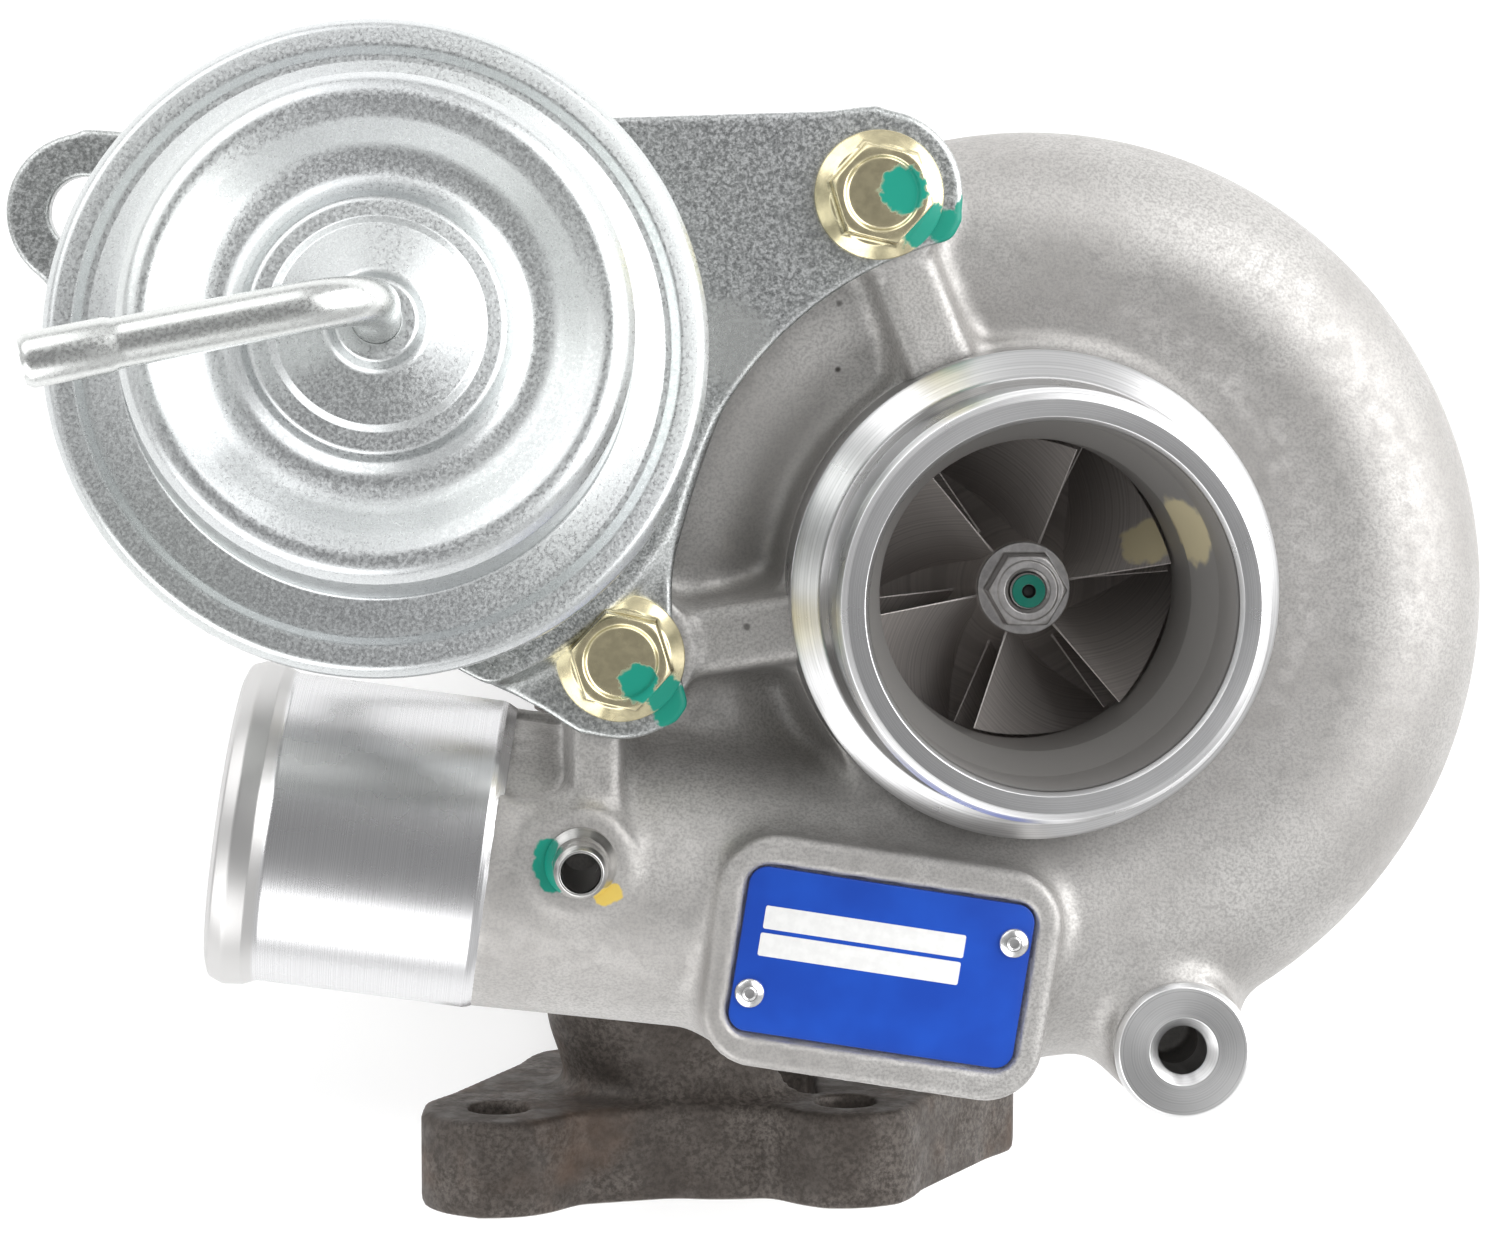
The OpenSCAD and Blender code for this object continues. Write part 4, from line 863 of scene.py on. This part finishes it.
m = M["shaft"] = turned("ground_shaft", base=(0.58, 0.57, 0.56), rough=0.22, pitch=3500)
tip_ring = m.ramp(m.math("ADD", m.radius(), m.times(m.noise(1500, 2), 0.0004)), 0.00105, 0.0013)
m.over(m.times(m.ramp(m.xyz()[2], 0.1411, 0.1413), tip_ring), GREEN, 0.4)
# painted shade: near-black at the bottom of the shaft end's centre hole
painted_hole_shade = m.times(m.ramp(m.xyz()[2], 0.1400, 0.1402), m.ramp(m.radius(), 0.0009, 0.0011, 1.0, 0.0))
m.over(painted_hole_shade, (0.01, 0.012, 0.012), 0.6)
shaft = [(0, 27), (3.4, 27), (4, 27.3), (6.6, 29), (7, 30)]
shaft += [(7 + 15.5 * (k / 24) ** 2.4, 30 + 25.4 * k / 24) for k in range(1, 25)]
shaft += [(22.5, 57), (8.4, 58), (8.4, 61), (7.4, 61), (7.4, 62.7), (8.4, 62.7), (8.4, 66), (6, 67), (4, 67),
          (4, 100), (2.6, 100)]
for k in range(12):
    shaft += [(2.6, 131 + 0.8 * k), (2.32, 131.4 + 0.8 * k)]
shaft += [(2.6, 140.8), (2.3, 141.5), (1.0, 141.5), (0.7, 140.9), (0, 140.6)]
show(lathe("turbine_shaft", shaft, 96), "shaft", None, "turbine_wheel_shaft", "rotor")
tv, tf = wrapped_blade(lambda t: (7 + 15.5 * t ** 2.4 - 1.2, 30 + 25.4 * t),
                       lambda t: (25 - 3.8 * (1 - min(1, t / 0.75)), 32 + 24.4 * t),
                       lambda t: -34 * (1 - t) ** 1.7, 1.3, 0.7, 26, 10)
tv, tf = turned_copies(tv, tf, [360 / 11 * k for k in range(11)])
show(mesh_of("turbine_blades", tv, tf, 40), "alloy", body="rotor")

# ======================= turbine housing =======================
PIV = frame_matrix(PIVOT, ("Z", LEVER_TURN))
HOLES = [(-78, 57), (-20, 54), (0, 16.5), (-62, 16.5)]
LEG = np.array([(-44, -92), (-64, -72), (-47, -38), (-42, 0)], float)


def leg_pt(t):
    b = (1 - t) ** 3 * LEG[0] + 3 * (1 - t) ** 2 * t * LEG[1] + 3 * (1 - t) * t * t * LEG[2] + t ** 3 * LEG[3]
    s = t * t * (3 - 2 * t)
    return np.array([b[0], b[1], 36 + 14 * s]), 18.2 + (17.5 - 18.2) * s


def turbine_casting():
    s = Space((-97, -110, -2), (65, 65, 70), 0.85 * COARSE)
    x, y, z = s.x, s.y, s.z
    r = np.hypot(x, y)
    v = (180 - np.degrees(np.arctan2(y, x))) % 360
    tube_r = (17.5 - 8.5 * v / 276).astype(np.float32)
    scroll = np.hypot(r - 42, z - 50) - tube_r
    leg = None
    n = 14
    for i in range(n):
        (a, ra), (b, rb) = leg_pt(i / n), leg_pt((i + 1) / n)
        e = b - a
        h = np.clip(((x - a[0]) * e[0] + (y - a[1]) * e[1] + (z - a[2]) * e[2]) / (e @ e), 0, 1)
        off = np.sqrt((x - a[0] - e[0] * h) ** 2 + (y - a[1] - e[1] * h) ** 2 + (z - a[2] - e[2] * h) ** 2)
        q = off - ra - (rb - ra) * h
        leg = q if leg is None else np.minimum(leg, q)
    gas = smin(scroll, leg, 3)
    d = smin(gas, rounded(r - 46.5, span(z, 44, 67), 1.0), 3)
    d = smin(d, rounded(r - 31.5, span(z, 2, 50), 1), 5)
    d = smin(d, rounded(disc(x, y, VALVE, 22), span(z, 0.4, 40), 2), 5)
    px, py, pz = local(x, y, z, PIV)
    boss = rounded(np.hypot(px, pz) - 10.5, span(py, -48, -35), 1.0)
    wall = rounded(np.maximum(np.abs(px + 4) - 10, np.abs(z - 17) - 14), span(py, -76, -46), 1.5)
    d = smin(d, smin(boss, wall, 3), 4)
    flange = rounded(r - 46, span(z, 0, 11), 0.8)
    for c in around(5, 14, 50):
        flange = smin(flange, rounded(disc(x, y, c, 9), span(z, 0, 10.4), 1.0), 3)
    d = smin(d, flange, 3)
    face = poly_dist(x, z, [(-81, 69), (-64, 61), (-48, 57), (-34, 57), (-24, 64.5), (-12, 62), (11, 22.5), (6, 5.5),
                            (-30, 12), (-62, 4.5), (-71, 8.5), (-90, 52)])
    for c, rr in zip(HOLES + [(-40, 36)], (13, 11.5, 12.5, 12, 22)):
        face = smin(face, np.hypot(x - c[0], z - c[1]) - rr, 3)
    plate = rounded(face + 0 * y, span(y, -108, -92), 1.2)
    d = smin(d, plate, 5)
    cut = gas + 4.5
    duct = np.maximum(np.maximum(np.abs(x + 40) - 15.5, np.abs(z - 36) - 11.5), np.maximum(y + 85, -112 - y))
    cut = smin(cut, duct, 2)
    wheel = poly_dist(r, z, [(0, 20), (21.7, 20), (21.7, 33), (25.4, 52), (25.4, 45.2), (29, 45.2), (29, 54.5),
                             (38.2, 57.5), (38.2, 72), (0, 72)])
    ringcut = np.maximum(span(r, 20, 40), span(z, 45.2, 54.5))
    chamber = np.minimum(np.maximum(r - 26, z - 28), np.maximum(disc(x, y, VALVE, 17), z - 28))
    bridge = np.maximum(np.maximum(np.abs(x - VALVE[0] - 17.5) - 17.5, np.abs(y - VALVE[1]) - 8), z - 28)
    pivot_room = np.maximum(np.maximum(np.abs(px - 0.5) - 8, np.abs(py + 62) - 10.5), np.abs(pz + 3) - 10)
    seat = np.maximum(disc(x, y, VALVE, 9.5), np.abs(z - 38) - 11)
    bush = np.maximum(np.hypot(px, pz) - 7, -62 - py)
    for c in (wheel, ringcut, np.minimum(np.minimum(chamber, bridge), pivot_room), seat, bush):
        cut = np.minimum(cut, c)
    d = smax(d, -cut, 0.6)
    for c in HOLES:
        d = smax(d, -np.maximum(np.hypot(x - c[0], z - c[1]) - 5.2, y + 90), 0.4)
    for c in around(5, 14, 50):
        d = smax(d, -np.maximum(disc(x, y, c, 4.5), z - 13), 0.4)
    for c in around(6, 10, 42.6):
        d = np.maximum(d, -np.maximum(disc(x, y, c, 2.7), 55 - z))
    return s.mesh("turbine_casting", d)


m = M["iron"]
o = m.xyz()
machined = m.math("MAXIMUM", m.ramp(o[2], 0.0002, 0.0005, 1, 0), m.ramp(o[1], -0.1078, -0.1075, 1, 0))
m.over(machined, (0.33, 0.31, 0.29), 0.36, 0.9)
show(turbine_casting(), "iron", replaces="turbine_housing")


# ======================= bearing housing =======================
def bearing_casting():
    s = Space((-40, -38, 60), (40, 35, 107), 0.7 * COARSE)
    x, y, z = s.x, s.y, s.z
    r = np.hypot(x, y)
    d = rounded(r - 38, span(z, 62, 67), 0.6)
    d = smin(d, rounded(r - 26, span(z, 62, 101.5), 1), 3)
    d = smin(d, poly_dist(r, z, [(0, 67), (34, 67), (30, 70), (24, 73), (0, 73)]), 2)
    d = smin(d, rounded(r - 34, span(z, 96, 105.5), 0.8), 4)
    across_y = np.hypot(x, z - 84)
    across_x = np.hypot(y, z - (84 + 1.5 * np.sign(x)))
    d = smin(d, rounded(across_y - 9.5, span(y, 0, 33), 0.6), 4)
    d = smin(d, rounded(across_y - 12, span(y, -36, -6), 0.6), 4)
    pad = rounded(np.maximum(np.abs(x) - 20, np.abs(z - 84) - 8), span(y, -36, -29), 0.8)
    d = smin(d, pad, 3)
    d = smin(d, rounded(across_x - 9, span(x, -34, 34), 0.6), 4)
    cut = np.minimum(np.maximum(r - 7, 60 - z), np.maximum(r - 19.5, 99.8 - z))
    for off_axis, stop in ((across_y - 7.5, y + 13), (across_y - 5.1, 23 - y), (across_y - 3.4, 8 - y),
                           (across_y - 2.4, np.maximum(y, -16 - y)), (across_x - 6.2, 12 - np.abs(x)),
                           (np.hypot(x + 15, z - 84) - 3.3, y + 27), (np.hypot(x - 15, z - 84) - 3.3, y + 27)):
        cut = np.minimum(cut, np.maximum(off_axis, stop))
    for c in around(4, 45, 25):
        cut = np.minimum(cut, np.maximum(disc(x, y, c, 4.6), z - 101.5))
    d = smax(d, -cut, 0.4)
    return s.mesh("bearing_casting", d)


show(bearing_casting(), "iron", replaces="bearing_housing")

# ======================= parts kept from the CAD =======================
M["shield"] = plain_metal("heat_shield_sheet", (0.42, 0.40, 0.375), 0.42, grain=700)
KEPT = {
    "backplate": "faced", "backplate_seal": "rubber", "backplate_screws": "dark_steel",
    "compressor_clamp_plates": "steel", "compressor_clamp_bolts": "steel", "thrust_collar": "steel",
    "thrust_washer": "steel", "thrust_bearing": "bronze", "compressor_seal_ring": "dark_steel",
    "turbine_seal_ring": "dark_steel", "front_bush": "bronze", "rear_bush": "bronze",
    "bush_retaining_rings": "dark_steel", "heat_shield": "shield", "turbine_clamp_plates": "dark_steel",
    "turbine_clamp_bolts": "dark_steel", "wastegate_bushing": "alloy", "wastegate_arm": "alloy",
    "wastegate_valve": "alloy", "wastegate_valve_washer": "alloy", "wastegate_lever": "steel", "lever_pin": "steel",
    "lever_clip": "dark_steel", "piston_cup": "yellow_zinc", "rod_guide": "guide", "actuator_rod": "bright_zinc",
    "rod_lock_nut": "yellow_zinc", "rod_end": "bright_zinc", "can_studs": "bright_zinc", "can_nuts": "yellow_zinc",
}
BEVELLED = ("compressor_clamp_plates", "compressor_clamp_bolts", "turbine_clamp_plates", "turbine_clamp_bolts",
            "wastegate_lever", "wastegate_arm", "lever_pin", "rod_end", "rod_lock_nut", "can_nuts",
            "backplate_screws")
for node_name, key in KEPT.items():
    part = NODES[node_name]
    part.data.materials.clear()
    part.data.materials.append(M[key].m)
    if node_name in BEVELLED:
        weld = part.modifiers.new("weld", "WELD")
        weld.merge_threshold = 1e-6
        bevel = part.modifiers.new("bevel", "BEVEL")
        bevel.width, bevel.segments, bevel.limit_method, bevel.angle_limit = 0.25 * MM, 2, "ANGLE", rad(40)
        bevel.harden_normals = True


def stand_in(name, node, material, body):
    """A piece with a copy of the CAD node's own shape, put in the node's place; the node is hidden."""
    source = NODES[node]
    return show(source.data.copy(), material, source.matrix_world.copy(), node, body, name)


spring = stand_in("spring_coil", "actuator_spring", "dark_steel", "casing")
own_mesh(spring)
sheet = stand_in("diaphragm_sheet", "diaphragm", "rubber", None)
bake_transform(sheet)

# ======================= floor, light, camera =======================
scene = bpy.context.scene
FLOOR_HALF = 6.0      # metres
floor_mesh = bpy.data.meshes.new("floor")
floor_mesh.from_pydata([(i * FLOOR_HALF, j * FLOOR_HALF, 0) for i, j in ((-1, -1), (1, -1), (1, 1), (-1, 1))],
                       [], [(0, 1, 2, 3)])
floor = bpy.data.objects.new("floor", floor_mesh)
floor.location.z = -0.0005
scene.collection.objects.link(floor)
paper = Mat("pale_floor", rough=0.9, base=(0.93, 0.93, 0.93))
paper.set("Specular IOR Level", 0.1)
paper.set("Emission Color", (1, 1, 1))
paper.set("Emission Strength", 0.16)
floor_mesh.materials.append(paper.m)

world = bpy.data.worlds.new("studio")
scene.world = world
world.use_nodes = True
wt = world.node_tree
coord = wt.nodes.new("ShaderNodeTexCoord").outputs["Generated"]
split = wt.nodes.new("ShaderNodeSeparateXYZ")
wt.links.new(coord, split.inputs[0])
ramp = wt.nodes.new("ShaderNodeValToRGB")
wt.links.new(split.outputs[2], ramp.inputs[0])
ramp.color_ramp.elements[0].color = (0.80, 0.80, 0.80, 1)
ramp.color_ramp.elements[1].color = (0.38, 0.38, 0.385, 1)
for pos, val in ((0.30, 1.0), (0.60, 0.92), (0.78, 0.60), (0.92, 0.44)):
    e = ramp.color_ramp.elements.new(pos)
    e.color = (val, val, val, 1)
wt.links.new(ramp.outputs[0], wt.nodes["Background"].inputs["Color"])
wt.nodes["Background"].inputs["Strength"].default_value = 0.80


def softbox(name, at, aim, w, h, power):
    light = bpy.data.lights.new(name, "AREA")
    light.shape, light.size, light.size_y, light.energy = "RECTANGLE", w, h, power
    obj = bpy.data.objects.new(name, light)
    scene.collection.objects.link(obj)
    obj.location = Vector(at)
    obj.rotation_euler = (Vector(aim) - Vector(at)).to_track_quat("-Z", "Y").to_euler()


softbox("key", (0.8, 0.35, 0.75), (0, 0, 0.1), 1.3, 1.2, 15)
softbox("fill", (-0.55, -0.75, 0.65), (-0.05, 0, 0.12), 1.2, 0.8, 6)
softbox("back", (-0.6, 0.75, 0.7), (-0.06, 0, 0.12), 1.0, 0.8, 4)

cam_data = bpy.data.cameras.new("camera")
cam = bpy.data.objects.new("camera", cam_data)
scene.collection.objects.link(cam)
scene.camera = cam
cam.location = Vector((-62.28, 37.49, 667.9)) * MM
cam.rotation_mode = "XYZ"
cam.rotation_euler = (-0.07797, -0.04244, 0.00092)
cam_data.sensor_width, cam_data.lens = 36.0, 89.01
cam_data.clip_start, cam_data.clip_end = 0.01, 50
scene.view_settings.view_transform = "Standard"
scene.view_settings.exposure = 0.0
